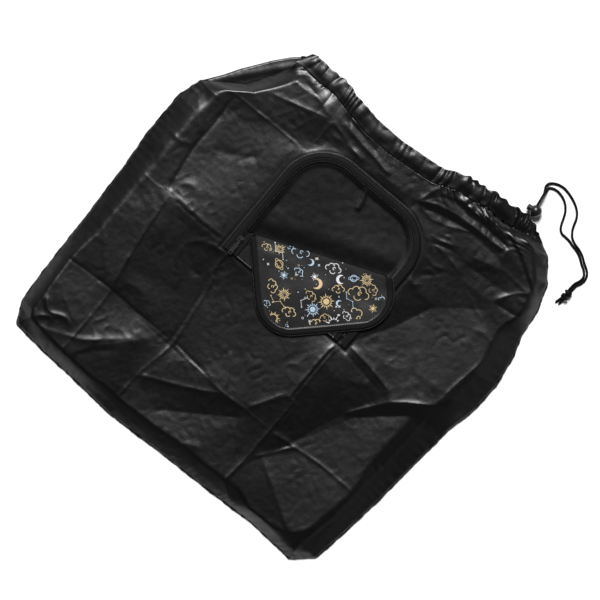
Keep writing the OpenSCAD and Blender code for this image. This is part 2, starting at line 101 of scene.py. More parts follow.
def spaced(line, n):
    """n points at even distances along a line."""
    run = run_of(line)
    at = np.linspace(0, run[-1], n)
    return np.stack([np.interp(at, run, line[:, k]) for k in range(line.shape[1])], 1)


def length_of(line):
    return float(np.linalg.norm(np.diff(line, axis=0), axis=1).sum())


def noise(x, y, size, seed):
    """Smooth noise from -1 to 1 with lumps about size across."""
    table = np.random.default_rng(seed).uniform(-1, 1, (256, 256))
    fx, fy = x / size + 60.3, y / size + 71.7
    ix, iy = np.floor(fx).astype(int), np.floor(fy).astype(int)
    tx, ty = smooth(fx - ix), smooth(fy - iy)
    a, b = table[ix % 256, iy % 256], table[(ix + 1) % 256, iy % 256]
    c, d = table[ix % 256, (iy + 1) % 256], table[(ix + 1) % 256, (iy + 1) % 256]
    return (a * (1 - tx) + b * tx) * (1 - ty) + (c * (1 - tx) + d * tx) * ty


def distance(x, y, line):
    """Each point's distance from a line, and how far along it, from 0 to 1, its nearest point lies."""
    best, share = np.full(x.shape, 1e9), np.zeros(x.shape)
    run = run_of(line)
    for i, (a, b) in enumerate(zip(line[:-1], line[1:])):
        d = b - a
        t = np.clip(((x - a[0]) * d[0] + (y - a[1]) * d[1]) / max(d @ d, 1e-9), 0, 1)
        away = np.hypot(x - a[0] - t * d[0], y - a[1] - t * d[1])
        near = away < best
        best = np.where(near, away, best)
        share = np.where(near, (run[i] + t * (run[i + 1] - run[i])) / run[-1], share)
    return best, share


def piece(name, points, faces, material, body="bag", replaces=(), shade=True):
    """A mesh from points in millimetres, riding on a body."""
    mesh = bpy.data.meshes.new(name)
    mesh.from_pydata([tuple(p) for p in (np.asarray(points) * MM).tolist()], [], [tuple(f) for f in faces])
    mesh.validate()
    for m in material if isinstance(material, (list, tuple)) else [material]:
        mesh.materials.append(m)
    mesh.polygons.foreach_set("use_smooth", [shade] * len(mesh.polygons))
    o = bpy.data.objects.new(name, mesh)
    bpy.context.scene.collection.objects.link(o)
    if body:
        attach(o, body)
    if replaces:
        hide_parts(*replaces)
    return o


def grid_faces(rows, cols, closed=False):
    """Quads of a grid of points, row by row; closed joins each row's last point to its first."""
    r, c = np.meshgrid(np.arange(rows - 1), np.arange(cols if closed else cols - 1), indexing="ij")
    r, c = r.ravel(), c.ravel()
    d = (c + 1) % cols
    return np.stack([r * cols + c, r * cols + d, (r + 1) * cols + d, (r + 1) * cols + c], 1).tolist()


def end_faces(rows, cols):
    """The two faces that close a tube made of rows of points."""
    return [list(range(cols))[::-1], list(range((rows - 1) * cols, rows * cols))]


def headings(path):
    """Unit vectors along a path."""
    t = np.gradient(path, axis=0)
    return t / np.maximum(np.linalg.norm(t, axis=1)[:, None], 1e-6)


def tube(path, radius, sides=12):
    """Points and faces of a tube; radius is a number or one for each point and side."""
    path = np.asarray(path, float)
    ahead = headings(path)
    side = np.cross(ahead, [0, 0, 1.0])
    side /= np.maximum(np.linalg.norm(side, axis=1)[:, None], 1e-6)
    up = np.cross(side, ahead)
    a = np.arange(sides)[None, :, None] * 2 * math.pi / sides
    r = np.broadcast_to(radius, (len(path), sides))[..., None]
    ring = path[:, None] + r * (np.cos(a) * side[:, None] + np.sin(a) * up[:, None])
    return ring.reshape(-1, 3), grid_faces(len(path), sides, closed=True) + end_faces(len(path), sides)


def joined(parts):
    """One list of points and faces from several."""
    points, faces, n = [], [], 0
    for p, f in parts:
        points.append(p)
        faces += [[i + n for i in face] for face in f]
        n += len(p)
    return np.vstack(points), faces


def solid(o, thickness):
    """Gives a sheet its thickness, downwards from its face."""
    m = o.modifiers.new("thickness", "SOLIDIFY")
    m.thickness = thickness * MM
    m.offset = -1


def over_fold(xy):
    """How far points lie past the fold line, on the side of the closed flap that folds."""
    return (np.asarray(xy)[..., :2] - FOLD_AT) @ ACROSS_FOLD


def along_fold(xy):
    return (np.asarray(xy)[..., :2] - FOLD_AT) @ ALONG_FOLD


# ---------------------------------------------------------------- camera
FIELD = 0.780                             # width of the floor that is seen, in metres
VIEW_TO = Vector((0.0126, -0.0023, 0.0))  # the middle of the view
camera_data = bpy.data.cameras.new("camera")
camera_data.lens = 400
camera_data.sensor_width = 36
camera_data.clip_end = 40
camera = bpy.data.objects.new("camera", camera_data)
bpy.context.scene.collection.objects.link(camera)
camera.location = VIEW_TO + Vector((0, 0, FIELD * camera_data.lens / camera_data.sensor_width))
camera.rotation_euler = (0, 0, math.radians(40))
bpy.context.scene.camera = camera


# ---------------------------------------------------------------- materials
def material(name, color, roughness=0.5, **sockets):
    m = bpy.data.materials.new(name)
    m.use_nodes = True
    shader = m.node_tree.nodes["Principled BSDF"]
    shader.inputs["Base Color"].default_value = (*color, 1)
    shader.inputs["Roughness"].default_value = roughness
    for key, value in sockets.items():
        shader.inputs[key.replace("_", " ")].default_value = value
    return m


def add(m, kind, **values):
    n = m.node_tree.nodes.new(kind)
    for key, value in values.items():
        if key in n.inputs:
            n.inputs[key].default_value = value
        else:
            setattr(n, key, value)
    return n


def link(m, a, out, b, into):
    m.node_tree.links.new(a.outputs[out], b.inputs[into])


def speckle(m, coords, scale, detail, **values):
    n = add(m, "ShaderNodeTexNoise", Scale=scale, Detail=detail, **values)
    link(m, coords, "Object", n, "Vector")
    return n


def wave(m, coords, axis, period, **values):
    """Ridges across an axis, a period apart in metres."""
    n = add(m, "ShaderNodeTexWave", bands_direction=axis, Scale=2 * math.pi / 20 / period, **values)
    link(m, coords, "Object", n, "Vector")
    return n


def mix_color(m, factor, out, dark, light, low=0.3, high=0.7):
    ramp = add(m, "ShaderNodeValToRGB")
    ramp.color_ramp.elements[0].position = low
    ramp.color_ramp.elements[1].position = high
    ramp.color_ramp.elements[0].color = (*dark, 1)
    ramp.color_ramp.elements[1].color = (*light, 1)
    link(m, factor, out, ramp, "Fac")
    link(m, ramp, "Color", m.node_tree.nodes["Principled BSDF"], "Base Color")


def bumps(m, layers):
    """Chains bump nodes: (height node, its output, strength, distance in metres)."""
    last = None
    for node, out, strength, deep in layers:
        b = add(m, "ShaderNodeBump", Strength=strength, Distance=deep)
        link(m, node, out, b, "Height")
        if last:
            link(m, last, "Normal", b, "Normal")
        last = b
    link(m, last, "Normal", m.node_tree.nodes["Principled BSDF"], "Normal")


def ranged(m, node, out, into, low, high):
    r = add(m, "ShaderNodeMapRange")
    r.inputs["To Min"].default_value = low
    r.inputs["To Max"].default_value = high
    link(m, node, out, r, "Value")
    link(m, r, "Result", m.node_tree.nodes["Principled BSDF"], into)


def nylon(name, dark, light, roughness=0.32):
    """Thin coated nylon: a fine plain weave, crinkled, with a soft gloss."""
    m = material(name, light, roughness, Sheen_Weight=0.006, Sheen_Roughness=0.4, Specular_IOR_Level=0.5)
    m.node_tree.nodes["Principled BSDF"].inputs["Sheen Tint"].default_value = (0.55, 0.52, 0.6, 1)
    co = add(m, "ShaderNodeTexCoord")
    warp = wave(m, co, "X", 0.0005, Distortion=0.6)
    weft = wave(m, co, "Y", 0.00055, Distortion=0.6)
    cloud = speckle(m, co, 14.0, 3.0)
    crinkle = speckle(m, co, 150.0, 4.0, Roughness=0.6)
    mix_color(m, cloud, "Fac", dark, light)
    ranged(m, crinkle, "Fac", "Roughness", roughness - 0.05, roughness + 0.05)
    bumps(m, [(warp, "Fac", 0.35, 0.00003), (weft, "Fac", 0.35, 0.00003), (crinkle, "Fac", 0.22, 0.0006)])
    return m


NYLON = nylon("nylon", (0.0009, 0.0008, 0.0011), (0.0017, 0.0015, 0.0020))
NYLON_IN = nylon("nylon_inner", (0.0009, 0.0008, 0.0011), (0.0016, 0.0014, 0.0019), 0.34)
LINING = nylon("lining_satin", (0.0035, 0.0035, 0.004), (0.0065, 0.0064, 0.0072), 0.38)


def ribbed(name, dark, light, period, roughness=0.6, shine=0.12):
    """Woven tape: ribs across it and a fine grain."""
    m = material(name, light, roughness, Sheen_Weight=0.004, Specular_IOR_Level=shine)
    co = add(m, "ShaderNodeTexCoord")
    rib = wave(m, co, "DIAGONAL", period, Distortion=0.8)
    grain = speckle(m, co, 900.0, 2.0)
    mix_color(m, grain, "Fac", dark, light)
    bumps(m, [(rib, "Fac", 0.5, 0.00015), (grain, "Fac", 0.4, 0.0001)])
    return m


TAPE = ribbed("zip_tape_weave", (0.0022, 0.0022, 0.0024), (0.0045, 0.0045, 0.005), 0.0009)
SEAM = ribbed("seam_overlock", (0.0009, 0.0009, 0.0011), (0.0025, 0.0025, 0.003), 0.0012, 0.55, 0.07)
CORD = ribbed("cord_braid", (0.0016, 0.0016, 0.0018), (0.005, 0.005, 0.0055), 0.0007, 0.6, 0.08)
THREAD = material("thread", (0.007, 0.007, 0.0075), 0.5, Specular_IOR_Level=0.25)


def hard(name, dark, light, roughness, **sockets):
    """Moulded or enamelled stuff with a faint grain."""
    m = material(name, light, roughness, **sockets)
    grain = speckle(m, add(m, "ShaderNodeTexCoord"), 300.0, 3.0)
    mix_color(m, grain, "Fac", dark, light)
    ranged(m, grain, "Fac", "Roughness", roughness - 0.06, roughness + 0.1)
    bumps(m, [(grain, "Fac", 0.3, 0.00005)])
    return m


COIL = hard("zip_coil_nylon", (0.005, 0.005, 0.0055), (0.011, 0.011, 0.012), 0.35)
PLASTIC = hard("lock_plastic", (0.004, 0.004, 0.0048), (0.008, 0.008, 0.0092), 0.34, Coat_Weight=0.15)
ENAMEL = hard("slider_enamel", (0.02, 0.02, 0.022), (0.045, 0.045, 0.05), 0.3, Metallic=0.6)
STEEL = hard("spring_steel", (0.4, 0.4, 0.42), (0.55, 0.55, 0.57), 0.3, Metallic=1.0)


def ink(name, color):
    m = material(name, color, 0.55)
    grain = speckle(m, add(m, "ShaderNodeTexCoord"), 700.0, 2.0)
    mix_color(m, grain, "Fac", tuple(c * 0.72 for c in color), color)
    bumps(m, [(grain, "Fac", 0.2, 0.0001)])
    return m


GOLD = ink("ink_gold", (0.62, 0.47, 0.24))
BLUE = ink("ink_blue", (0.42, 0.55, 0.68))
WHITE = ink("ink_white", (0.72, 0.72, 0.74))


# ---------------------------------------------------------------- drawcord, knot and free ends
FLOOR_Z = CORD_D / 2
STRAND_SHIFT, STRAND_RISE = -2.2, 1.5      # where the two strands pass the lock's middle
STRAND_STOPS = (-8.7, 8.0, 23.0)           # the strands' straight run through the lock


def hem_rise(s):
    """Height of the front hem's middle line, s from 0 at its left end to 1."""
    return HEM_H * 1.5 + 0.3 + 10 * smooth(np.minimum(s, 1 - s) / 0.22)


def along(points, s):
    line = np.array(points, float)
    run = run_of(line)
    return np.stack([np.interp(s * run[-1], run, line[:, k]) for k in range(line.shape[1])], -1)


def strand(y, side):
    """A point of the upper (1) or lower (-1) strand, y along it from the lock's middle."""
    c, s = math.cos(LOCK_TILT), math.sin(LOCK_TILT)
    return [LOCK_AT[0] + STRAND_SHIFT * c - y * s, LOCK_AT[1] + STRAND_SHIFT * s + y * c,
            LOCK_AT[2] + side * STRAND_RISE]


# Routes of the free strands from the lock to the knot: x, y from the lock, and height over lying flat
OUTER = [(-7.7, 27.5, 6.6), (-10.5, 33, 3.6), (-9.8, 38.3, 1.2), (-5.5, 42.5, 0), (1, 45.6, 0), (9, 46.8, 0),
         (18, 45.5, 0), (27, 42.7, 0), (36, 38.3, 0), (42.5, 33, 0), (46.7, 27, 0), (49.3, 20, 0),
         (52, 13, 0), (56, 7, 0), (60, 3.2, 0), (67, 0, 0), (75, -2, 0), (83, -5.2, 0), (92, -11.2, 0),
         (99, -15.4, 0), (104, -20, 0), (106.6, -27, 0), (105.6, -34.5, 0), (103, -40, 0),
         (102.3, -46.5, 0), (102, -54, 0)]
INNER = [(-5.8, 27.5, 3.4), (-6.5, 31.5, 1.4), (-5, 35, 0.2), (0, 37.6, 0), (7, 38.2, 0), (16, 36, 0),
         (23.5, 31.6, 0), (29.5, 25, 0), (33.5, 17, 0), (36.5, 9, 0), (40, 3, 0), (45, -0.4, 0),
         (51, -0.8, 0), (58, -1.4, 0), (65, -3.4, 0), (73, -5, 0), (81.5, -8.5, 0), (90, -14.4, 0),
         (96.5, -18.2, 0), (101, -22.5, 0), (103, -27.5, 0), (102.2, -33.5, 0), (99.8, -39.4, 0),
         (99, -46.5, 0), (99, -54, 0)]
TIPS = [[(99, -62, 0), (97.5, -67, 0), (96, -73, 0)], [(102, -62, 0), (101.2, -67, 0), (100.5, -72, 0)]]
KNOT = (100.5, -58)
KNOT_Z = 5.0


def laid(route):
    return [(LOCK_AT[0] + x, LOCK_AT[1] + y, FLOOR_Z + z) for x, y, z in route]


def braid(route):
    """A braided round cord: points and faces of a tube with two crossing sets of plaits, and its path."""
    ring_step, sides, turns_per_mm, least_z = 0.9, 16, 0.16, 0.05
    path = spaced(curve(route, 8), max(12, int(length_of(np.array(route)) / ring_step)))
    turn = 2 * math.pi * turns_per_mm * run_of(path)[:, None]
    a = 2 * np.arange(sides)[None] * 2 * math.pi / sides
    plait = np.maximum(np.abs(np.sin(a + turn)), np.abs(np.sin(a - turn)))
    points, faces = tube(path, CORD_D / 2 * (1.03 + 0.14 * plait), sides)
    points[:, 2] = np.maximum(points[:, 2], least_z)
    return points, faces, path


def tail(name, side, route, replaced):
    """A free strand: straight through the lock, then along its own route to the knot."""
    points, faces, path = braid([strand(y, side) for y in STRAND_STOPS] + laid(route))
    return piece(name, points, faces, CORD, "bag", [replaced]), path


outer_tail, outer_path = tail("tail_outer", 1, OUTER, "cord_tail_outer")
inner_tail, inner_path = tail("tail_inner", -1, INNER, "cord_tail_inner")


def knot_piece():
    """The overhand knot that ties both strands together, each strand a loop round the other."""
    middle = np.array([LOCK_AT[0] + KNOT[0], LOCK_AT[1] + KNOT[1], KNOT_Z])
    radius = CORD_D / 2 * 1.06
    parts = []
    for side in (-1, 1):
        t = np.linspace(-0.35, 2 * math.pi + 0.35, 40)
        loop = np.stack([2.7 * np.sin(t + 0.5) + side * 1.3, 5.2 * np.cos(t / 2 + 0.1) + side * 0.5,
                         2.4 * np.cos(2 * t + side * 0.8) + 0.3 * side], 1)
        parts.append(tube(spaced(middle + loop, 60), radius))
    band = np.linspace(0, 2 * math.pi * 1.6, 46)
    wrap = np.stack([4.0 * np.cos(band), 0.9 * band - 4.4, 3.5 * np.sin(band)], 1)
    parts.append(tube(middle + wrap, radius))
    points, faces = joined(parts)
    return piece("cord_stopper_knot", points, faces, CORD, "bag", ["cord_knot"])


def tips_piece():
    """The two cut ends past the knot, each with its frayed threads."""
    threads, turn = 9, 2.4
    parts = []
    for route in TIPS:
        points, faces, path = braid(laid(route))
        parts.append((points, faces))
        for a in np.arange(threads) * turn:
            root = path[-1] + [0.5 * math.cos(a), 0.3, 0.5 * math.sin(a)]
            end = path[-1] + [0.7 * math.cos(a), -1.6 - 0.5 * math.sin(3 * a), 0.7 * math.sin(a)]
            parts.append(tube(np.linspace(root, end, 4), 0.22, 5))
    points, faces = joined(parts)
    return piece("cord_cut_tips", points, faces, CORD, "bag", ["cord_tips"])


knot = knot_piece()
tips = tips_piece()


def drawcord_piece():
    """From the lock along the front hem, round the mouth's left end and back along the rear hem."""
    front = [(*along(FRONT_HEM, s), hem_rise(s) + 2.4 * smooth(min(s, 1 - s) / 0.1))
             for s in np.linspace(1, 0, 25)]
    rear = [(*along(REAR_HEM, s), HEM_H / 2) for s in np.linspace(0, 1, 25)]
    x, y, _ = LOCK_AT
    start = [strand(STRAND_STOPS[0], 1), (x - 1.2, y - 13.5, 9.1), (x - 4, y - 18.5, 8.8),
             (x - 9, y - 21.5, 8.4)]
    turn = [(front[-1][0] - 6, front[-1][1] - 0.5, front[-1][2] - 0.8), (-188, 241, 5.2),
            (rear[0][0] - 12, rear[0][1] + 0.5, 3.1), (rear[0][0] - 6, rear[0][1], 2.6)]
    end = [(x - 6.5, y - 25, 3.6), (x - 1.5, y - 20.5, 4.5), (x - 0.2, y - 14.5, 5.5),
           strand(STRAND_STOPS[0], -1)]
    points, faces, _ = braid(start + front + turn + rear + end)
    return piece("drawcord_in_hems", points, faces, CORD, "bag", ["drawcord"])


drawcord_piece()

# ---------------------------------------------------------------- the front panel's heights
LIGHT = np.array([-0.643, 0.766])   # the side that lit facets face
CREASE_DEPTH = 0.75                 # share of each crease height that is used
TILT = 0.185                        # slope of a facet of tone 1
# Facets between the folds: corners, then a tone for each corner from -1, turned away, to 1
FACETS = [
    ([(-290, 150), (-222, 148), (-219, 98), (-207, -4), (-290, -6)], [-0.2, -0.1, -0.5, -0.7, -0.6]),
    ([(-222, 148), (-110, 150), (-108, -8), (-207, -4), (-220, 64)], [0.6, 0.45, 0.25, 0.2, 0.5]),
    ([(-225, 150), (-104, 152), (-100, 200), (-190, 180)], [-0.1, -1.1, -0.9, 0.0]),
    ([(-207, -6), (-99, -11), (-97, -50), (-81, -122), (-78, -157), (-186, -150), (-197, -79)],
     [-0.8, -0.6, -0.6, -1.0, -1.1, -1.0, -0.9]),
    ([(-290, -6), (-205, -6), (-197, -79), (-186, -150), (-262, -82)], [-0.6, -0.5, 0.0, 0.1, -0.3]),
    ([(-290, -70), (-262, -82), (-186, -150), (-290, -152)], [0.0, -0.3, -0.4, 0.0]),
    ([(-97, -55), (-80, -60), (-20, -152), (-78, -155), (-81, -122)], [0.6, 0.8, -0.5, -1.0, -0.6]),
    ([(-97, -14), (92, -14), (83, -25), (83, -104), (49, -155), (15, -158), (-20, -152), (-80, -60)],
     [0.6, 0.9, 0.95, 0.95, 0.8, 0.8, 0.8, 0.9]),
    ([(83, -104), (91, -157), (49, -155)], [0.1, 0.1, 0.2]),
    ([(93, -8), (180, -20), (151, -79), (123, -147), (91, -150), (91, -110), (83, -100), (83, -25)],
     [-0.4, -0.1, -0.6, -0.5, -0.8, -0.7, -0.8, -0.8]),
    ([(234, 5), (188, -29), (151, -79), (165, -73), (215, -28), (238, -16)], [-0.9] * 6),
    ([(165, -73), (215, -28), (236, -30), (231, -122), (228, -150), (125, -150)],
     [0.4, 0.6, 0.8, 0.7, 0.6, 0.4]),
    ([(96, -5), (146, -12), (188, -29), (234, 5), (239, 47), (249, 111), (200, 140), (150, 100), (128, 50)],
     [0.7, 1.0, 0.7, 0.7, 0.6, 0.7, 0.8, 0.9, 0.5]),
    ([(150, 100), (200, 140), (152, 152), (118, 142), (104, 110)], [0.5, 0.4, 0.2, 0.2, 0.3]),
    ([(98, 0), (128, 50), (150, 100), (105, 110)], [-0.1, -0.3, -0.2, -0.7]),
    ([(236, -4), (275, -4), (262, -150), (248, -240), (212, -264), (226, -185), (231, -122)],
     [-1.0, -1.0, -1.0, -0.9, -0.8, -1.0, -1.0]),
    ([(-290, -154), (-184, -154), (-183, -264), (-290, -264)], [0.1, 0.2, -0.1, 0.0]),
    ([(-184, -154), (-125, -156), (-114, -178), (-150, -215), (-183, -240)], [0.2, 0.2, 0.5, 0.3, -0.1]),
    ([(-125, -156), (-80, -160), (-86, -205), (-88, -264), (-183, -264), (-150, -215), (-114, -178)],
     [0.0, -0.3, -0.7, -0.9, -0.3, -0.5, -0.6]),
    ([(-80, -160), (15, -160), (-65, -203), (-86, -203)], [-0.1, -0.2, -0.4, -0.5]),
    ([(15, -160), (45, -158), (52, -168), (-40, -232), (-88, -215), (-70, -204)],
     [-0.3, -0.7, -0.8, -0.5, -0.6, -0.8]),
    ([(52, -168), (78, -205), (88, -215), (86, -264), (-80, -264), (-40, -232)],
     [0.6, 0.5, 0.3, 0.1, 0.0, 0.3]),
    ([(45, -157), (90, -157), (88, -210), (78, -207)], [0.2, 0.0, -0.2, 0.1]),
    ([(92, -160), (125, -152), (104, -190), (92, -240)], [-0.8, -0.5, -0.8, -0.9]),
    ([(125, -152), (228, -150), (222, -210), (196, -243), (104, -190)], [0.7, 0.8, 0.7, 0.7, 0.6]),
    ([(104, -190), (196, -243), (205, -264), (88, -264), (92, -230)], [-0.5, -0.4, -0.3, -0.2, -0.4]),
    ([(-100, 178), (45, 178), (47, 193), (-98, 197)], [-0.9, -1.1, -1.1, -0.7]),
    ([(-98, 197), (-45, 190), (0, 196), (-60, 208), (-100, 210)], [-1.0, -1.1, 0.0, -1.3, -0.9]),
    ([(47, 192), (66, 213), (85, 216), (106, 209), (90, 197), (62, 200)],
     [-0.6, -0.9, -0.7, -0.3, -0.1, -0.3]),
    ([(68, 217), (72, 222), (180, 221), (176, 215), (120, 217)], [0.6, 0.6, 0.8, 0.5, 0.6]),
    ([(106, 209), (120, 216), (176, 214), (168, 207), (125, 205)], [-0.3, -0.5, -0.6, -0.4, -0.2]),
    ([(72, 223), (74, 230), (120, 230), (176, 226), (180, 222)], [-0.5, -0.8, -0.7, -0.9, -0.8]),
    ([(138, 231), (146, 240), (168, 237), (202, 221), (178, 226)], [-0.8, -0.9, -0.9, -0.9, -0.8]),
    ([(178, 221), (180, 206), (192, 198), (238, 196), (206, 218), (186, 226)],
     [-0.8, -0.9, -0.7, -0.9, -0.9, -0.9]),
    ([(150, 242), (212, 243), (244, 222), (242, 199), (204, 221), (172, 238)],
     [0.5, 0.6, 0.7, 0.5, 0.7, 0.6]),
    ([(48, 191), (90, 196), (125, 203), (168, 206), (192, 197), (150, 184), (96, 180), (72, 170)],
     [0.2, 0.2, 0.5, 0.6, 0.5, 0.1, 0.0, -0.1]),
    ([(192, 197), (239, 195), (214, 178), (150, 172), (150, 184)], [-0.2, 0.2, -0.8, -0.8, -0.5]),
    ([(96, 162), (150, 171), (214, 177), (206, 157), (152, 152)], [0.1, 0.3, 0.4, 0.5, 0.3]),
    ([(207, 158), (224, 174), (239, 192), (250, 180), (252, 163)], [-0.5, -0.5, -0.4, -0.1, -0.4]),
    ([(208, 155), (252, 161), (250, 118), (226, 132)], [-0.3, -0.6, 0.2, 0.4]),
    ([(50, 200), (54, 226), (64, 244), (82, 246), (74, 230), (70, 220)],
     [-0.3, -0.5, -0.6, -0.2, -0.3, -0.4]),
    ([(-222, 165), (-190, 180), (-105, 203), (-120, 230), (-178, 232), (-198, 205)],
     [0.1, 0.1, 0.1, 0.0, 0.2, 0.1]),
]
# Folds and creases: points, height, half width, both in millimetres
CREASES = [
    ([(-222, 147), (-219, 98), (-220, 64), (-212, 9), (-205, -5)], -0.7, 2.6),
    ([(-205, -5), (-197, -79), (-187, -138), (-183, -155), (-182, -205), (-183, -258)], 0.7, 2.4),
    ([(-101, 190), (-103, 203)], 0.8, 3),
    ([(-99, -14), (-97, -50), (-90, -62), (-81, -122), (-78, -159), (-86, -205), (-88, -258)], 1.0, 2.6),
    ([(-92, -62), (-85, -120), (-83, -157)], -0.8, 2.4),
    ([(93, -3), (83, -25), (83, -104), (91, -110), (91, -163), (90, -218), (86, -256)], 0.7, 2.2),
    ([(98, -14), (89, -27), (89, -104), (97, -112), (97, -150)], 0.45, 2.2),
    ([(86, -25), (86, -104)], -0.8, 2.0),
    ([(252, 150), (249, 111), (239, 47), (235, 5), (236, -30), (231, -122), (226, -185),
      (213, -258)], 0.9, 3),
    ([(-262, 139), (-227, 148), (-180, 149), (-128, 150), (-112, 148)], 0.5, 2.2),
    ([(-222, 152), (-180, 153), (-114, 154)], -0.2, 2.4),
    ([(95, 166), (130, 163), (153, 155)], 0.9, 3),
    ([(-268, -2), (-227, -8), (-206, -2), (-149, -4), (-112, -2)], 0.35, 2.2),
    ([(-200, -7), (-149, -9), (-112, -8)], -0.6, 2.4),
    ([(-98, 184), (-80, 190), (0, 191), (38, 191)], 1.2, 6),
    ([(97, -6), (146, -12), (180, -20)], 1.1, 3),
    ([(100, -16), (146, -24), (170, -27)], -0.6, 3),
    ([(234, 5), (188, -29), (151, -79)], 1.0, 3.2),
    ([(-262, -154), (-187, -149), (-141, -150), (-80, -150)], -0.5, 2.0),
    ([(-80, -152), (-48, -155), (-23, -156), (15, -159), (45, -157), (90, -157)], 0.6, 2.0),
    ([(-80, -148), (-48, -151), (-10, -156)], -0.6, 2.0),
    ([(93, -157), (130, -153), (175, -149), (228, -150)], 0.7, 2.4),
    ([(-14, -109), (15, -159)], 0.7, 4),
    ([(45, -157), (78, -210)], 0.9, 3),
    ([(78, -104), (49, -155)], 0.8, 3),
    ([(15, -159), (-20, -180), (-65, -201), (-86, -210)], 1.0, 3.4),
    ([(91, -112), (123, -147)], 0.9, 3),
    ([(104, -188), (150, -216), (196, -243)], 0.8, 4),
    ([(98, -197), (125, -159), (136, -152)], 1.1, 3),
    ([(-245, -205), (-228, -222), (-205, -215), (-190, -222)], 1.6, 4),
    ([(-240, -240), (-222, -228), (-212, -240)], 1.3, 4),
    ([(-228, -192), (-208, -205), (-186, -212)], 1.1, 4),
    ([(-250, -232), (-232, -248), (-200, -236), (-172, -224), (-150, -206)], 1.3, 4.5),
    ([(-162, -218), (-135, -192), (-116, -178)], 0.9, 4),
    ([(-165, -248), (-150, -225), (-128, -205)], -0.9, 5),
    ([(-99, -16), (-130, -24), (-147, -40), (-146, -58), (-128, -80), (-122, -98)], 0.8, 4.5),
    ([(-140, -46), (-118, -62), (-100, -58)], -0.8, 5),
    ([(-262, -80), (-230, -108), (-200, -140)], 0.7, 5),
    ([(-262, 118), (-236, 92), (-221, 78)], 0.9, 4),
    ([(-262, 60), (-240, 56), (-222, 66)], 0.7, 4),
    ([(-206, 8), (-192, 22), (-178, 16)], 0.7, 5),
    ([(-200, 75), (-170, 88), (-145, 108)], -0.9, 8),
    ([(-105, 203), (-140, 193), (-190, 178)], 1.1, 3.2),
    ([(-105, 203), (-128, 196), (-152, 190)], -0.7, 4),
    ([(-105, 203), (-135, 213), (-170, 222)], 0.9, 3.5),
    ([(-105, 203), (-103, 180), (-104, 158)], 0.9, 3),
    ([(-105, 203), (-80, 197), (-50, 189), (-32, 187)], 1.2, 3.6),
    ([(-98, 212), (-60, 205), (-25, 200), (0, 196)], 1.3, 4),
    ([(-98, 219), (-66, 214), (-30, 207)], -1.2, 4),
    ([(-92, 232), (-80, 222), (-50, 214)], 1.2, 4),
    ([(-45, 187), (-10, 193), (40, 193)], -0.9, 5),
    ([(47, 192), (54, 215), (62, 232)], 1.5, 4),
    ([(47, 192), (66, 205), (100, 213), (150, 216), (180, 219)], 1.5, 3.6),
    ([(55, 190), (80, 199), (112, 206), (150, 209)], -1.0, 4),
    ([(47, 192), (62, 178), (84, 167)], 1.1, 3.4),
    ([(47, 192), (76, 188), (92, 192)], 0.8, 3.5),
    ([(74, 225), (110, 226), (150, 225), (178, 223)], -1.3, 3),
    ([(140, 234), (160, 236), (186, 227), (212, 213), (238, 197)], -1.3, 3.6),
    ([(136, 252), (160, 242), (190, 231), (214, 218), (240, 199)], 1.2, 3.2),
    ([(177, 218), (180, 206), (192, 198), (216, 196), (238, 195)], 0.9, 3.2),
    ([(84, 246), (90, 234), (102, 231), (136, 231)], 1.0, 3),
    ([(66, 218), (70, 228), (78, 244)], 0.9, 3),
    ([(122, 250), (132, 238), (140, 231)], 1.1, 3),
    ([(150, 252), (166, 244), (186, 240), (194, 246)], 0.9, 3.2),
    ([(172, 250), (190, 246), (214, 240), (232, 236)], 0.9, 3.4),
    ([(40, 240), (46, 228), (52, 222)], 0.9, 3),
    ([(239, 196), (222, 184), (210, 166), (206, 156)], 1.0, 3),
    ([(206, 157), (232, 160), (252, 165)], -0.7, 3),
    ([(206, 155), (216, 144), (228, 140)], 0.9, 3.4),
    ([(100, 206), (112, 211), (124, 208), (110, 200), (92, 192)], 0.7, 2.6),
    ([(80, 202), (86, 193), (98, 192)], 0.7, 2.4),
    ([(96, 181), (112, 184), (126, 180)], 0.8, 2.8),
    ([(84, 170), (104, 174), (126, 182)], 0.8, 2.6),
    ([(90, 162), (116, 172), (134, 174)], -0.8, 2.6),
    ([(78, 168), (92, 164), (104, 152)], 0.8, 2.4),
    ([(112, 134), (122, 144), (136, 150)], 0.6, 3.2),
    ([(108, 122), (124, 134), (134, 146)], -0.5, 3.2),
    ([(246, 112), (225, 118), (208, 112)], 0.7, 5),
    ([(96, 150), (112, 143), (124, 148)], 0.8, 3.2),
    ([(104, 128), (118, 136), (134, 132)], 0.7, 3.4),
    ([(100, 172), (118, 178), (132, 170)], 0.8, 3.2),
    ([(98, 116), (112, 108), (122, 116)], 0.7, 3.4),
    ([(94, 200), (104, 192), (96, 184)], 0.7, 3),
    ([(12, -262), (18, -242), (40, -232)], 1.0, 5),
    ([(40, -262), (56, -246), (90, -248), (120, -262)], 0.9, 4.5),
    ([(84, -244), (104, -256), (112, -264)], 1.0, 3.5),
    ([(150, -262), (176, -240), (200, -250)], -0.6, 8),
    ([(40, -20), (56, -60), (50, -100)], -0.5, 14),
    ([(150, 60), (190, 30), (228, 20)], 0.6, 12),
    ([(250, 60), (262, 50), (272, 55)], 0.7, 5),
]
MOUTH_SEAM = [(x, y - HEM_W / 2) for x, y in FRONT_HEM]
# How far the mouth's cloth is gathered: x, and the height of the folds there
GATHERED = [(-178, 0.5), (-152, 0.8), (-120, 1.2), (-100, 1.1), (-80, 0.5), (-55, 0.25), (30, 0.2), (50, 0.8),
            (78, 1.7), (130, 2.2), (185, 2.0)]


def hem_lift(s):
    """How far the front hem's sleeve lies over its CAD solid."""
    return HEM_LIFT + 1.4 * smooth(np.minimum(s, 1 - s) / 0.3)


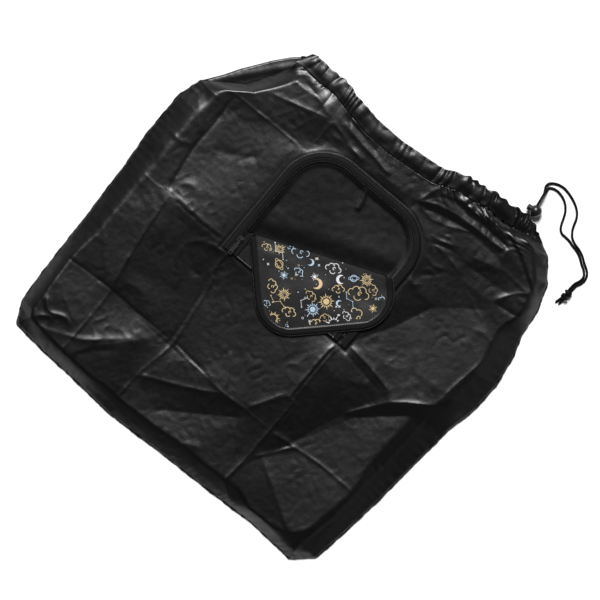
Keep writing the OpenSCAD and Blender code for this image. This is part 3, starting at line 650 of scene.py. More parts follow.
def gather(s, x, down):
    """Height of the gathered cloth's folds: s runs along the mouth, down from its edge."""
    period = 17
    size = np.interp(x, *np.array(GATHERED).T)
    lean = np.interp(x, [-170, -110, -60, 50, 110, 185], [-0.35, 0.3, 0.1, -0.1, 0.55, 0.9])
    wander = 2.4 * noise(s, s * 0 + 5, 31, 11) + 0.03 * down * noise(s, down, 30, 12)
    phase = (s - lean * (down - 10)) / period + wander
    size = size * (0.8 + 0.6 * noise(s, s * 0 + 9, 17, 14))
    fold = 2 * np.abs(np.sin(math.pi * phase)) - 1.1 + 0.4 * noise(s, down, 9, 13)
    reach = np.interp(x, [-180, -100, 0, 60, 110, 185], [14, 16, 9, 14, 15, 15])
    return size * fold * np.exp(-np.maximum(down - HEM_W, 0) / reach) * (0.55 + 0.45 * np.exp(-down / 10))


def patch(bottom, left, right, top, nu, nv):
    """A grid of points between four edges."""
    u, v = np.linspace(0, 1, nu)[None, :, None], np.linspace(0, 1, nv)[:, None, None]
    b, t = spaced(np.array(bottom, float), nu)[None], spaced(np.array(top, float), nu)[None]
    le, ri = spaced(np.array(left, float), nv)[:, None], spaced(np.array(right, float), nv)[:, None]
    corners = (1 - v) * ((1 - u) * b[:, :1] + u * b[:, -1:]) + v * ((1 - u) * t[:, :1] + u * t[:, -1:])
    return (1 - v) * b + v * t + (1 - u) * le + u * ri - corners


def inside(x, y, corners):
    """Whether each point lies in a polygon."""
    hit = np.zeros(x.shape, bool)
    for (ax, ay), (bx, by) in zip(corners, corners[1:] + corners[:1]):
        if ay != by:
            hit ^= ((ay > y) != (by > y)) & (x < ax + (y - ay) * (bx - ax) / (by - ay))
    return hit


def facet_slopes(x, y):
    """The slope that each point's facet asks for."""
    tone = np.zeros(x.shape)
    for corners, tones in FACETS:
        near = [1 / (1 + ((x - cx) ** 2 + (y - cy) ** 2) / 400) for cx, cy in corners]
        value = sum(w * t for w, t in zip(near, tones)) / sum(near)
        tone = np.where(inside(x, y, corners), value, tone)
    return TILT * tone[..., None] * -LIGHT


def rounded(x, y):
    """How far each point lies inside the pocket's outline."""
    cx, cy = (POCKET_L + POCKET_R) / 2, POCKET_T - POCKET_RADIUS
    ax, ay = np.abs(x - cx) - ((POCKET_R - POCKET_L) / 2 - POCKET_RADIUS), y - cy
    round_part = POCKET_RADIUS - np.hypot(np.maximum(ax, 0), np.maximum(ay, 0))
    side = (POCKET_R - POCKET_L) / 2 - np.abs(x - cx)
    return np.minimum(np.where(y > cy, round_part, side), y - POCKET_B)


def relaxed(xy, held, base, share, rounds=(600, 400, 200, 100)):
    """Heights to add to base so that its slopes come near the facets', with the held points at 0.

    Where share is 0 the base keeps its own slope."""
    h = None
    for step, count in zip((8, 4, 2, 1), rounds):
        p, fixed = xy[::step, ::step], held[::step, ::step]
        low, part = base[::step, ::step], share[::step, ::step]
        g = facet_slopes(p[..., 0], p[..., 1])
        along_u = ((g[:, 1:] + g[:, :-1]) / 2 * np.diff(p, axis=1)).sum(-1)
        along_v = ((g[1:] + g[:-1]) / 2 * np.diff(p, axis=0)).sum(-1)
        along_u -= (part[:, 1:] + part[:, :-1]) / 2 * np.diff(low, axis=1)
        along_v -= (part[1:] + part[:-1]) / 2 * np.diff(low, axis=0)
        if h is None:
            h = np.zeros(fixed.shape)
        else:
            rows, cols = fixed.shape
            r, c = np.linspace(0, h.shape[0] - 1, rows), np.linspace(0, h.shape[1] - 1, cols)
            h = np.array([np.interp(c, np.arange(h.shape[1]), row) for row in h])
            h = np.array([np.interp(r, np.arange(h.shape[0]), col) for col in h.T]).T
        for _ in range(count):
            new = np.zeros_like(h)
            new[1:-1, 1:-1] = (h[1:-1, :-2] + along_u[1:-1, :-1] + h[1:-1, 2:] - along_u[1:-1, 1:]
                               + h[:-2, 1:-1] + along_v[:-1, 1:-1] + h[2:, 1:-1] - along_v[1:, 1:-1]) / 4
            h = np.where(fixed, 0, new)
    return h


def rough(x, y):
    """The small unevenness of thin crumpled cloth."""
    ridged = 1 - np.abs(noise(x + 0.4 * y, y - 0.3 * x, 34, 21)) * 2
    fine = 1 - np.abs(noise(x - 0.5 * y, y + 0.5 * x, 13, 22)) * 2
    return (0.7 * noise(x, y, 55, 23) + 0.5 * ridged * noise(x, y, 70, 24)
            + 0.22 * fine * noise(x, y, 40, 25) + 0.07 * noise(x, y, 5, 26))


NU, NV = 401, 385                   # points across and up the front panel
PANEL_W, PANEL_H = 530, 510         # about how far it is across and up either panel
BOTTOM_RUN, DROP = 500, 505         # about how long the bottom edge is, and how far down it lies
RIM_W, PANEL_Z = 21.0, 21.5         # how far in from the seams the front panel reaches this height
POCKET_Z = 23.65                    # height of the cloth under the pocket's tape
HEM_LIFT = 3.0                      # the hem sleeve swells this much over its CAD solid
PUCKER = [(-15, 166), (-9, 150), (-6, 138)]
mouth_line = [LEFT[-1]] + MOUTH_SEAM + [RIGHT[-1]]
front_xy = patch(BOTTOM, LEFT, RIGHT, mouth_line, NU, NV)
U, V = np.meshgrid(np.linspace(0, 1, NU), np.linspace(0, 1, NV))


def panel_rim(y):
    """How far in from the seams each point lies, how far along them, and its share of the rim's width."""
    rim = np.minimum(np.minimum(U, 1 - U) * PANEL_W, V * PANEL_H)
    edge_run = np.where(np.minimum(U, 1 - U) * PANEL_W < V * PANEL_H, V * PANEL_H, U * BOTTOM_RUN)
    width = RIM_W * (1 + 0.75 * smooth(0.35 + 0.9 * noise(edge_run, rim * 0, 62, 33)))
    lower_right = smooth((U - 0.8) / 0.15) * smooth((20 - y) / 40) * smooth((V * PANEL_H - 12) / 30)
    return rim, edge_run, np.clip(rim / (width * (1 + 0.7 * lower_right)), 0, 1)


def creased(h, x, y, rim, pocket):
    """The heights with the creases' ridges and grooves, outside the pocket."""
    for points, height, width in CREASES:
        line = spaced(curve(points), 6 * len(points))
        reach = 3 * width
        near = ((x > line[:, 0].min() - reach) & (x < line[:, 0].max() + reach)
                & (y > line[:, 1].min() - reach) & (y < line[:, 1].max() + reach) & (rim > 0) & (pocket < 2))
        d, t = distance(x[near], y[near], line)
        ease = smooth(rim[near] / 6) * smooth((2 - pocket[near]) / 4)
        fade = smooth(np.minimum(t, 1 - t) * length_of(line) / 14 + 0.15)
        unevenness = 0.75 + 0.35 * noise(x[near], y[near], 16, 35)
        h[near] += CREASE_DEPTH * ease * height * fade * unevenness * np.exp(-np.abs(d / width) ** 1.5)
    return h


def pocket_relief(x, y):
    """The pocket's own piece of the panel: it dips towards the folded flap, swells and puckers."""
    past = np.maximum(over_fold(np.stack([x, y], -1)) + 2, 0)
    dip = -2.6 * np.exp(-((past / 16) ** 2)) - 0.5
    swell = 0.9 * noise(x, y, 60, 41) - 0.4 + 0.12 * noise(x, y, 9, 42)
    return dip + swell + 1.1 * np.exp(-((distance(x, y, np.array(PUCKER))[0] / 3.2) ** 2))


def front_heights():
    """Heights of the front panel: rim, facets, creases, gathers and the pocket's piece."""
    x, y = front_xy[..., 0], front_xy[..., 1]
    rim, edge_run, across = panel_rim(y)
    pocket = rounded(x, y)
    body = RIM_Z + (PANEL_Z - RIM_Z) * (1 - (1 - across) ** 1.3) + 2.5 * smooth(rim / 130)
    # Along the mouth the panel meets the hem
    mouth_runs = run_of(np.array(mouth_line, float))
    hem_s = np.clip((U * mouth_runs[-1] - mouth_runs[1]) / (mouth_runs[-2] - mouth_runs[1]), 0, 1)
    band = np.interp(U, [0, 0.2, 0.35, 0.75, 1], [0.044, 0.044, 0.03, 0.03, 0.044])
    w = smooth((V - 1 + band) / band)
    base = (1 - w) * body + w * (hem_rise(hem_s) + hem_lift(hem_s) + 1.0)
    # The facets' slopes, wherever neither a rim, the hem nor the pocket sets the height
    held = (rim < 1) | (V > 1 - band) | (pocket > -3)
    share = smooth((across - 0.7) / 0.3) * (1 - smooth((V - 1 + band + 0.015) / 0.02))
    h = relaxed(front_xy, held, base, share)
    h = h + smooth(np.minimum(rim / 12, 1)) * smooth((-3 - pocket) / 14) * rough(x, y)
    h = creased(h, x, y, rim, pocket)
    h = h + gather(U * mouth_runs[-1], x, HEM_W + (1 - V) * DROP) * smooth((-2 - pocket) / 8)
    puckers = 0.3 * np.sin(edge_run * 2 * math.pi / 11 + 6 * noise(edge_run, rim * 0, 31, 31))
    h = h + (puckers + 0.5 * noise(edge_run, rim, 9, 32)) * np.exp(-rim / 8)
    # Level under the pocket's tape, with a low hump just outside it
    level = smooth((pocket + 7) / 5)
    inner = smooth((pocket - 11) / 8)
    hump = 0.4 * smooth((pocket + 4) / 4) * (1 - smooth(pocket / 3))
    floor = POCKET_Z + inner * np.minimum(pocket_relief(x, y), 0.25)
    return (base + h) * (1 - level) + level * floor + hump


front_points = np.dstack([front_xy, front_heights()]).reshape(-1, 3)
front_panel = piece("front_panel_cloth", front_points, grid_faces(NV, NU), NYLON, "bag", ["front_panel"])
solid(front_panel, CLOTH)


# ---------------------------------------------------------------- back panel, seams and hems
def back_panel():
    """The panel that lies on the floor, with its flat-pack folds."""
    left = [p for p in LEFT if p[1] < SHOULDER[0][1]] + SHOULDER
    top = [SHOULDER[-1]] + [(x, y - HEM_W / 2) for x, y in REAR_HEM] + [RIGHT[-1]]
    nu, nv = 161, 161
    xy = patch(BOTTOM, left, RIGHT, top, nu, nv)
    u, v = np.meshgrid(np.linspace(0, 1, nu), np.linspace(0, 1, nv))
    x, y = xy[..., 0], xy[..., 1]
    rim = np.minimum(np.minimum(u, 1 - u) * PANEL_W, v * PANEL_H)
    z = 1.3 + 0.5 * noise(x, y, 60, 51) + 0.25 * (1 - 2 * np.abs(noise(x, y, 24, 52)))
    z += 0.5 * smooth((v - 0.9) / 0.1) + 0.35 * np.sin(v * PANEL_H * 0.7) * np.exp(-rim / 8)
    for points, height, width in (([(-262, 0), (262, 0)], 0.8, 3), ([(-262, -150), (255, -150)], 0.8, 3),
                                  ([(-100, -262), (-100, 215)], 0.8, 3), ([(95, -262), (95, 230)], 0.8, 3),
                                  ([(-262, 128), (-246, 158), (-190, 225)], 0.9, 5)):
        z += height * np.exp(-((distance(x, y, np.array(points, float))[0] / width) ** 2))
    solid(piece("back_panel_cloth", np.dstack([xy, np.maximum(z, 0.45)]).reshape(-1, 3), grid_faces(nv, nu),
                NYLON_IN, "bag", ["back_panel"]), CLOTH)


def sewn_edge(name, line, inward, replaced):
    """The folded seam along an edge: a soft uneven strip with an overlocked rim."""
    step, sides = 2.0, 12
    n = int(length_of(np.array(line, float)) / step)
    path = spaced(np.array(line, float), n)
    t = headings(path)
    out = -inward * np.stack([-t[:, 1], t[:, 0]], 1)
    s = np.arange(n) * step
    wiggle = 0.7 * noise(s, s * 0, 9, 61) + 0.5 * noise(s, s * 0, 4, 62)
    a = np.linspace(0, 2 * math.pi, sides, endpoint=False)
    across, up = 3.6 * np.sign(np.cos(a)) * np.abs(np.cos(a)) ** 0.7, 0.9 * np.sin(a)
    centre = path - out * 2.6 + out * wiggle[:, None]
    lift = 2.4 + 0.5 * noise(s, s * 0 + 3, 11, 63)
    ring = np.dstack([centre[:, None] + out[:, None] * across[None, :, None], lift[:, None] + up[None]])
    faces = grid_faces(n, sides, closed=True) + end_faces(n, sides)[:1]
    strip = piece(name, ring.reshape(-1, 3), faces, SEAM, "bag", [replaced])
    # One loop of thread at each step: how far out, on and up each of its points lies
    loops = []
    for i in range(1, n - 2):
        over = [np.array([*(centre[i] + out[i] * away + t[i] * on), lift[i] + up])
                for away, on, up in ((-2.6, 0, 1.0), (3.0, 0.8, 0.9), (4.0, 1.2, -0.1), (3.0, 1.6, -1.2))]
        over.insert(1, (over[0] + over[1]) / 2 + [0, 0, 0.35])
        loops.append(tube(np.array(over), 0.28, 5))
    points, faces = joined(loops)
    thread = piece(name + "_overlock", points, faces, SEAM, None, ())
    thread.parent = strip


def stitches(name, path, body, pitch=3.0, size=2.2, radius=0.24):
    """A row of stitches lying on a path."""
    count = int(length_of(path) / pitch)
    spots = spaced(path, count * 2 + 1)
    parts = []
    for a, b in zip(spots[0:-1:2], spots[1::2]):
        d = (b - a) / max(np.linalg.norm(b - a), 1e-6) * size / 2
        m = (a + b) / 2
        ends = np.array([m - d - [0, 0, 0.25], m - d * 0.55 + [0, 0, 0.1], m + d * 0.55 + [0, 0, 0.1],
                         m + d - [0, 0, 0.25]])
        parts.append(tube(ends, np.array([0.5, 1, 1, 0.5])[:, None] * radius, 5))
    points, faces = joined(parts)
    piece(name, points, faces, THREAD, body, ())


def hem(name, line, rise, amount, replaced, seed, cloth):
    """A gathered sleeve of cloth round the cord, with its row of stitches."""
    n, sides = 361, 30
    centre = spaced(np.array(line, float), n)
    s = np.linspace(0, 1, n) * length_of(centre)
    height = rise(np.linspace(0, 1, n))
    a = np.linspace(0, 2 * math.pi, sides, endpoint=False)
    half = HEM_W / 2
    across = half * np.sign(np.cos(a)) * np.abs(np.cos(a)) ** 0.6
    x = np.repeat(centre[:, :1], sides, 1)
    x = x + 0.5 * (across[None] + half) * (1 - smooth(s / 26))[:, None]
    tense = np.interp(centre[:, 0], *np.array(GATHERED).T)
    scallop = tense * (0.9 * np.sin(2 * math.pi * s / 15 + 5 * noise(s, s * 0, 28, seed))
                       + 1.1 * noise(s, s * 0, 21, seed + 3))
    y = centre[:, 1:] + across[None] + (scallop * 0.8)[:, None] * smooth((across[None] + half) / HEM_W)
    down = half - across[None] + np.zeros_like(x)
    puff = np.sign(np.sin(a)) * np.abs(np.sin(a)) ** 0.5 * (1.0 + 1.0 * np.exp(-((across / 5) ** 2)))
    closing = 0.25 + 0.75 * smooth(s / 16)
    folds = gather(np.repeat(s[:, None], sides, 1) + seed, x, down)
    z = height[:, None] + puff[None] * closing[:, None] + amount * folds + 0.5 * noise(x, y, 9, seed + 1)
    faces = grid_faces(n, sides, closed=True) + end_faces(n, sides)
    sleeve = piece(name, np.dstack([x, y, z]).reshape(-1, 3), faces, cloth, "bag", [replaced])
    sub = sleeve.modifiers.new("smooth", "SUBSURF")
    sub.levels = sub.render_levels = 1
    k = next(k for k in range(2, sides) if across[k] <= 2.4 - half)
    row = np.stack([x[3:-3, k], y[3:-3, k], z[3:-3, k] + 0.15], 1)
    stitches(name + "_stitches", row, "bag", 3.4, 2.4, 0.26)


back_panel()
sewn_edge("left_seam_strip", LEFT, -1, "left_seam")
sewn_edge("right_seam_strip", RIGHT[1:], 1, "right_seam")
sewn_edge("bottom_seam_strip", BOTTOM, 1, "bottom_seam")
hem("front_hem_sleeve", [(-192, 242)] + FRONT_HEM + [(170, 261), (184, 257), (197, 250)],
    lambda s: hem_rise(s) + hem_lift(s), 1.0, "front_hem", 71, NYLON)
hem("rear_hem_sleeve", [(-188, 240)] + REAR_HEM,
    lambda s: np.full_like(s, HEM_H / 2 + 1.2), 0.45, "rear_hem", 91, NYLON_IN)


# ---------------------------------------------------------------- zip
KEEL_X, ZIP_Y = -96.7, 0.0          # middle of the zip's straight left side, and where its coil starts
# How far in from the pocket's outline the zip's lines lie
BAG_TAPE, BAG_COIL, FLAP_COIL, FLAP_TAPE, FLAP_CLOTH = 9, 9.8, 12.8, 13.6, 20.4


def outline(d, low=POCKET_B, step=1.5):
    """The pocket's outline moved inwards by d, from low on its left side over the top to its right."""
    r = POCKET_RADIUS - d
    left, right, top = POCKET_L + d, POCKET_R - d, POCKET_T - POCKET_RADIUS
    a = np.radians(np.linspace(180, 90, 46))
    b = np.radians(np.linspace(90, 0, 46))
    corner = [np.stack([POCKET_L + POCKET_RADIUS + r * np.cos(a), top + r * np.sin(a)], 1),
              np.stack([POCKET_R - POCKET_RADIUS + r * np.cos(b), top + r * np.sin(b)], 1)]
    line = np.vstack([[[left, low]], corner[0], corner[1], [[right, low]]])
    return spaced(line, int(length_of(line) / step))


def opened(p):
    """Turns closed flap points half a turn about the fold."""
    p = np.array(p, float)
    xy = p[..., :2] - 2 * over_fold(p)[..., None] * ACROSS_FOLD
    return np.concatenate([xy, 2 * FOLD_Z - p[..., 2:3]], -1)


def flutter(x, y):
    """How far the open flap's cloth rises and dips, at a closed place of the flap."""
    ease = smooth((x + 90) / 22) * smooth((over_fold(np.stack([x, y], -1)) - 3) / 18)
    return ease * (0.9 * noise(x, y, 48, 101) + 0.35 * noise(x, y, 17, 102))


def ripple(x, y):
    """The zip's small waves round the pocket, none where the slider runs."""
    return 0.55 * smooth((x + 80) / 20) * noise(x, y, 26, 111)


FLAP_START = (KEEL_X + 5 - FOLD_AT[0]) / math.cos(FOLD_ANGLE)   # where the flap starts along the fold
FOLD_GAP = 0.8                      # the flap and its sewn-down part end this far from the fold line


def flap_part(line):
    return line[(over_fold(line) > FOLD_GAP) & (along_fold(line) > FLAP_START)]


def root_parts(line):
    """The stretches of a line on the sewn-down part of the flap, left and right."""
    keep, left = over_fold(line) < -FOLD_GAP, line[:, 0] < 0
    return [line[keep & left], line[keep & ~left]]


def ribbon(name, path_a, path_b, z, body, replaced, wave_z, turned=False, ribs=4):
    """A woven tape between two lines, slightly domed along its edges."""
    thick, edge_drop = 0.6, 0.12
    n = min(len(path_a), len(path_b))
    a, b = spaced(path_a, n), spaced(path_b, n)
    upper = [(k, thick / 2 - (edge_drop if k in (0, ribs) else 0)) for k in range(ribs + 1)]
    rows = []
    for k, rise in upper + [(k, -thick / 2) for k in range(ribs, -1, -1)]:
        xy = a + (b - a) * k / ribs
        rows.append(np.column_stack([xy, z + rise + wave_z(xy[:, 0], xy[:, 1])]))
    ring = np.stack(rows, 1)
    if turned:
        ring = opened(ring)
    faces = grid_faces(n, len(rows), closed=True) + end_faces(n, len(rows))
    piece(name, ring.reshape(-1, 3), faces, TAPE, body, replaced)


def coil(line, wave_z, side, turned):
    """One row of the zip: a nylon helix with its loops standing towards the other row."""
    pitch, steps, reach = 1.25, 9, 0.72
    path = spaced(line, max(2, int(length_of(line) / pitch)) * steps)
    t = headings(path)
    out = np.stack([t[:, 1], -t[:, 0]], 1)
    a = np.arange(len(path)) * 2 * math.pi / steps
    xy = path + out * (side * reach * np.cos(a))[:, None]
    p = np.column_stack([xy, MID_Z + reach * np.sin(a) + wave_z(path[:, 0], path[:, 1])])
    return tube(opened(p) if turned else p, 0.3, 5)


def coil_piece(name, lines, body, replaced, wave_z, side, turned=False):
    points, faces = joined([coil(line, wave_z, side, turned) for line in lines if len(line) > 6])
    piece(name, points, faces, COIL, body, replaced)


def raised(line, z, wave_z, turned=False):
    p = np.column_stack([line, z + wave_z(line[:, 0], line[:, 1])])
    return opened(p) if turned else p


# Section of the sewn tape's turned outer edge: how far in from the pocket's outline, and how high
TAPE_EDGE = [(-1.4, 23.9), (-0.8, 25.0), (0.2, 25.75), (1.2, 25.85), (2.5, 26.25), (3.6, 26.1), (4.6, 26.25),
             (5.0, 26.1), (5.1, 25.7)]


def zip_pieces():
    # On the bag: the tape sewn round the pocket, its turned edge, its coil and two rows of stitches
    ribbon("pocket_tape", outline(0), outline(BAG_TAPE), MID_Z - 0.1, "bag", ["zip_tape_pocket"], ripple,
           ribs=6)
    n = 320
    rows = []
    for d, z in TAPE_EDGE:
        xy = spaced(outline(d), n)
        rows.append(np.column_stack([xy, z + ripple(*xy.T) * smooth((d + 3.5) / 4)]))
    points = np.stack(rows, 1).reshape(-1, 3)
    piece("pocket_tape_edge", points, grid_faces(n, len(rows)), TAPE, "bag", ())
    for k, d in enumerate((1.1, 3.6)):
        stitches(f"pocket_stitches_{k}", raised(outline(d), 26.05, ripple), "bag")
    coil_piece("pocket_coil", [outline(BAG_COIL, ZIP_Y)], "bag", ["zip_coil_pocket"], ripple, -1)
    # On the sewn-down part of the flap
    edges = zip(("left", "right"), root_parts(outline(FLAP_TAPE)), root_parts(outline(FLAP_TAPE + 9)),
                (["zip_tape_root"], ()))
    for side, a, b, replaced in edges:
        ribbon(f"root_tape_{side}", a, b, MID_Z, "bag", replaced, ripple)
    coil_piece("root_coil", root_parts(outline(FLAP_COIL, ZIP_Y)), "bag", ["zip_coil_root"], ripple, 1)
    # On the flap
    ribbon("flap_tape", flap_part(outline(FLAP_TAPE)), flap_part(outline(FLAP_TAPE + 9.8)), MID_Z, "flap",
           ["zip_tape_flap"], flutter, True)
    coil_piece("flap_coil", [flap_part(outline(FLAP_COIL, ZIP_Y))], "flap", ["zip_coil_flap"], flutter, 1,
               True)


zip_pieces()


# ---------------------------------------------------------------- pocket flap
def clipped(points, signed):
    """The part of a closed outline where signed(point) is above 0."""
    out = []
    for p, q in zip(points, np.roll(points, -1, axis=0)):
        a, b = signed(p), signed(q)
        if a > 0:
            out.append(p)
        if (a > 0) != (b > 0):
            out.append(p + (q - p) * a / (a - b))
    return np.array(out)


def filled(corners, spacing):
    """Points and triangles that fill an outline."""
    x, y = corners[:, 0], corners[:, 1]
    gx, gy = np.meshgrid(np.arange(x.min(), x.max(), spacing), np.arange(y.min(), y.max(), spacing * 0.87))
    gx = gx + (np.arange(gx.shape[0]) % 2)[:, None] * spacing / 2
    grid = np.stack([gx.ravel(), gy.ravel()], 1)
    loop = [tuple(c) for c in corners]
    grid = grid[inside(grid[:, 0], grid[:, 1], loop)]
    d, _ = distance(grid[:, 0], grid[:, 1], np.vstack([corners, corners[:1]]))
    grid = grid[d > spacing * 0.45]
    n = len(corners)
    everything = [Vector(p) for p in np.vstack([corners, grid])]
    points, _, faces, *_ = delaunay_2d_cdt(everything, [], [list(range(n))], 1, 1e-5)
    return np.array([tuple(p) for p in points]), [list(f) for f in faces]


def ply(name, corners, z, thick, material, body, replaced, spacing=3.0):
    """One layer of the flap's cloth, from its outline when closed; the part on the flap is then opened."""
    turned = body == "flap"
    wave_z = flutter if turned else ripple
    xy, tri = filled(corners, spacing)
    lift = wave_z(xy[:, 0], xy[:, 1])
    low = np.column_stack([xy, z - thick / 2 + lift])
    top = np.column_stack([xy, z + thick / 2 + lift])
    n, m = len(xy), len(corners)
    rim = [[i, (i + 1) % m, (i + 1) % m + n, i + n] for i in range(m)]
    points = np.vstack([low, top])
    if turned:
        points = opened(points)
    faces = [f[::-1] for f in tri] + [[i + n for i in f] for f in tri] + rim
    piece(name, points, faces, material, body, replaced)


def cloth_outline():
    line = outline(FLAP_CLOTH, step=2.5)
    return np.vstack([line, spaced(np.array([line[-1], line[0]]), 80)[1:-1]])


# The layers' heights when closed, and the sections of the cloth that runs round the fold: how far from the
# fold line and how high
OUTER_Z, PRINTED_Z, PLY = 26.25, 25.25, 0.45
ROOT_OUTER_Z, ROOT_LINING_Z, ROOT_PLY = 26.5, 25.3, 0.4
FOLD_PRINTED = [(3.4, 25.3), (0, 25.3), (-1.8, 25.6), (-3.0, 26.3), (-3.4, 27.2), (-3.0, 28.1), (-1.8, 28.75),
                (0, 29.05), (3.6, 29.12)]
FOLD_OUTER = [(3.4, 26.5), (0, 26.5), (-0.9, 26.75), (-1.3, 27.1), (-0.9, 27.5), (0, 27.75), (3.6, 27.8)]
CLOTH_START = FLAP_START + 4        # where the flap's cloth starts along the fold


def flap_pieces():
    flap = clipped(cloth_outline(), lambda p: over_fold(p) - FOLD_GAP)
    flap = clipped(flap, lambda p: along_fold(p) - CLOTH_START)
    ply("flap_outer_cloth", flap, OUTER_Z, PLY, NYLON, "flap", ["flap_shell"])
    ply("flap_printed_cloth", flap, PRINTED_Z, PLY, LINING, "flap", ["flap_lining"], 2.4)
    edge = raised(flap_part(outline(22.2)), PRINTED_Z - 0.4, flutter, True)
    stitches("flap_stitches", edge, "flap", 2.8, 2.0, 0.22)
    root = clipped(cloth_outline(), lambda p: -over_fold(p) - FOLD_GAP)
    ply("root_outer_cloth", root, ROOT_OUTER_Z, ROOT_PLY, NYLON, "bag", ["flap_root_shell"])
    ply("root_lining_cloth", root, ROOT_LINING_Z, ROOT_PLY, LINING, "bag", ["flap_root_lining"])
    for k, up in enumerate((1.0, 3.4)):
        x = np.linspace(POCKET_L + 10, POCKET_R - 10, 90)
        row = np.stack([x, np.full_like(x, POCKET_B + up), np.full_like(x, ROOT_OUTER_Z + 0.35)], 1)
        stitches(f"root_stitches_{k}", row, "bag")


def fold_cloth(name, section, material):
    """Cloth that runs round the fold, from the sewn-down part to the flap."""
    ends = [along_fold(p) for p in clipped(cloth_outline(), lambda p: 0.5 - abs(over_fold(p)))]
    stations = np.linspace(max(min(ends), CLOTH_START), max(ends), 90)
    wobble = 1 + 0.12 * noise(stations, stations * 0, 14, 121)
    across = spaced(curve(section, 4), 26)
    points = np.array([[*(FOLD_AT + ALONG_FOLD * t - ACROSS_FOLD * (d if d > 0 else d * w)), z]
                       for t, w in zip(stations, wobble) for d, z in across])
    o = piece(name, points, grid_faces(len(stations), len(across)), material, None, ())
    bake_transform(o)


flap_pieces()
fold_cloth("fold_printed_cloth", FOLD_PRINTED, LINING)
fold_cloth("fold_outer_cloth", FOLD_OUTER, NYLON)


# ---------------------------------------------------------------- the flap's printed pattern
INKS = {"gold": [GOLD, []], "blue": [BLUE, []], "white": [WHITE, []]}
INK_RISE = 0.1                      # how far the ink lies over the cloth's face
PRINT_IN = 23.6                     # the print keeps this far in from the pocket's outline


def closed_place(xy):
    """Where a place of the open flap lies when the flap is closed."""
    return opened(np.column_stack([xy, np.zeros(len(xy))]))[:, :2]


def print_z(xy):
    closed = closed_place(xy)
    return 2 * FOLD_Z - (PRINTED_Z - PLY / 2 + flutter(closed[:, 0], closed[:, 1])) + INK_RISE


def inked(color, xy, faces):
    """Adds faces of ink on the open flap, if all of them lie on its printed cloth."""
    closed = closed_place(xy)
    if (rounded(closed[:, 0], closed[:, 1]).min() > PRINT_IN and over_fold(closed).min() > 1.2
            and along_fold(closed).min() > CLOTH_START):
        INKS[color][1].append((np.column_stack([xy, print_z(xy)]), faces))


def draw_line(color, line, width=0.9):
    line = np.array(line, float)
    line = spaced(line, max(3, int(length_of(line) / 1.4)))
    t = headings(line)
    side = np.stack([-t[:, 1], t[:, 0]], 1) * width / 2
    faces = [[2 * i, 2 * i + 2, 2 * i + 3, 2 * i + 1] for i in range(len(line) - 1)]
    inked(color, np.stack([line - side, line + side], 1).reshape(-1, 2), faces)


def draw_shape(color, corners):
    """A shape whose whole outline is seen from its middle."""
    corners = np.array(corners, float)
    m = len(corners)
    inked(color, np.vstack([corners.mean(0)[None], corners]), [[0, i + 1, (i + 1) % m + 1] for i in range(m)])


def placed(points, x, y, turn):
    """Points turned by some degrees and moved to a place."""
    c, s = math.cos(math.radians(turn)), math.sin(math.radians(turn))
    return points @ np.array([[c, s], [-s, c]]) + [x, y]


def ring_points(x, y, r, a0=0.0, a1=360.0, n=40):
    a = np.radians(np.linspace(a0, a1, n))
    return np.stack([x + r * np.cos(a), y + r * np.sin(a)], 1)


def draw_dot(color, x, y, r):
    draw_shape(color, ring_points(x, y, r, 0, 360, 11)[:-1])


def draw_sun(color, x, y, r, rays=12, filled_disc=True):
    """A sun of long and short pointed rays round a disc or a ring."""
    for k in range(rays):
        a = 2 * math.pi * k / rays
        tip = r * (1.0 if k % 2 == 0 else 0.74)
        d = np.array([math.cos(a), math.sin(a)])
        base, half = d * r * 0.48, np.array([-d[1], d[0]]) * r * 0.085
        draw_shape(color, np.array([base - half, d * tip, base + half]) + [x, y])
    if filled_disc:
        draw_dot(color, x, y, r * 0.36)
    else:
        draw_line(color, ring_points(x, y, r * 0.38), 0.8)
        draw_line(color, ring_points(x, y, r * 0.2, 30, 300, 20), 0.6)


def draw_star(color, x, y, r, points=4):
    a = np.arange(points * 2) * math.pi / points + math.pi / 2
    reach = np.where(np.arange(points * 2) % 2 == 0, r, r * 0.32)
    draw_shape(color, np.stack([x + reach * np.cos(a), y + reach * np.sin(a)], 1))


def draw_crescent(color, x, y, r, turn):
    outer = ring_points(0, 0, r, 60, 300, 26)
    inner = ring_points(r * 0.42, 0, r * 0.80, 283, 77, 26)
    n = len(outer)
    faces = [[i, i + 1, 2 * n - 2 - i, 2 * n - 1 - i] for i in range(n - 1)]
    inked(color, placed(np.vstack([outer, inner]), x, y, turn), faces)


def draw_cloud(color, x, y, size, turn=0.0, width=0.9):
    """A cloud: five puffs round a curl."""
    for px, py, r, a0, a1 in ((-0.85, 0.0, 0.34, 70, 265), (-0.38, 0.34, 0.42, 15, 180),
                              (0.22, 0.42, 0.48, 0, 165), (0.78, 0.08, 0.36, -80, 95),
                              (0.0, -0.24, 0.42, 190, 340), (0.1, 0.12, 0.2, 20, 290)):
        arc = ring_points(px * size, py * size, r * size, a0, a1, 18)
        draw_line(color, placed(arc, x, y, turn), width)


def draw_planet(color, x, y, r, turn):
    draw_line(color, ring_points(x, y, r), 0.85)
    draw_line(color, placed(ring_points(0, 0, r * 1.7) * [1, 0.33], x, y, turn), 0.65)
    draw_line(color, ring_points(x, y, r * 0.55, 200, 330, 12), 0.6)


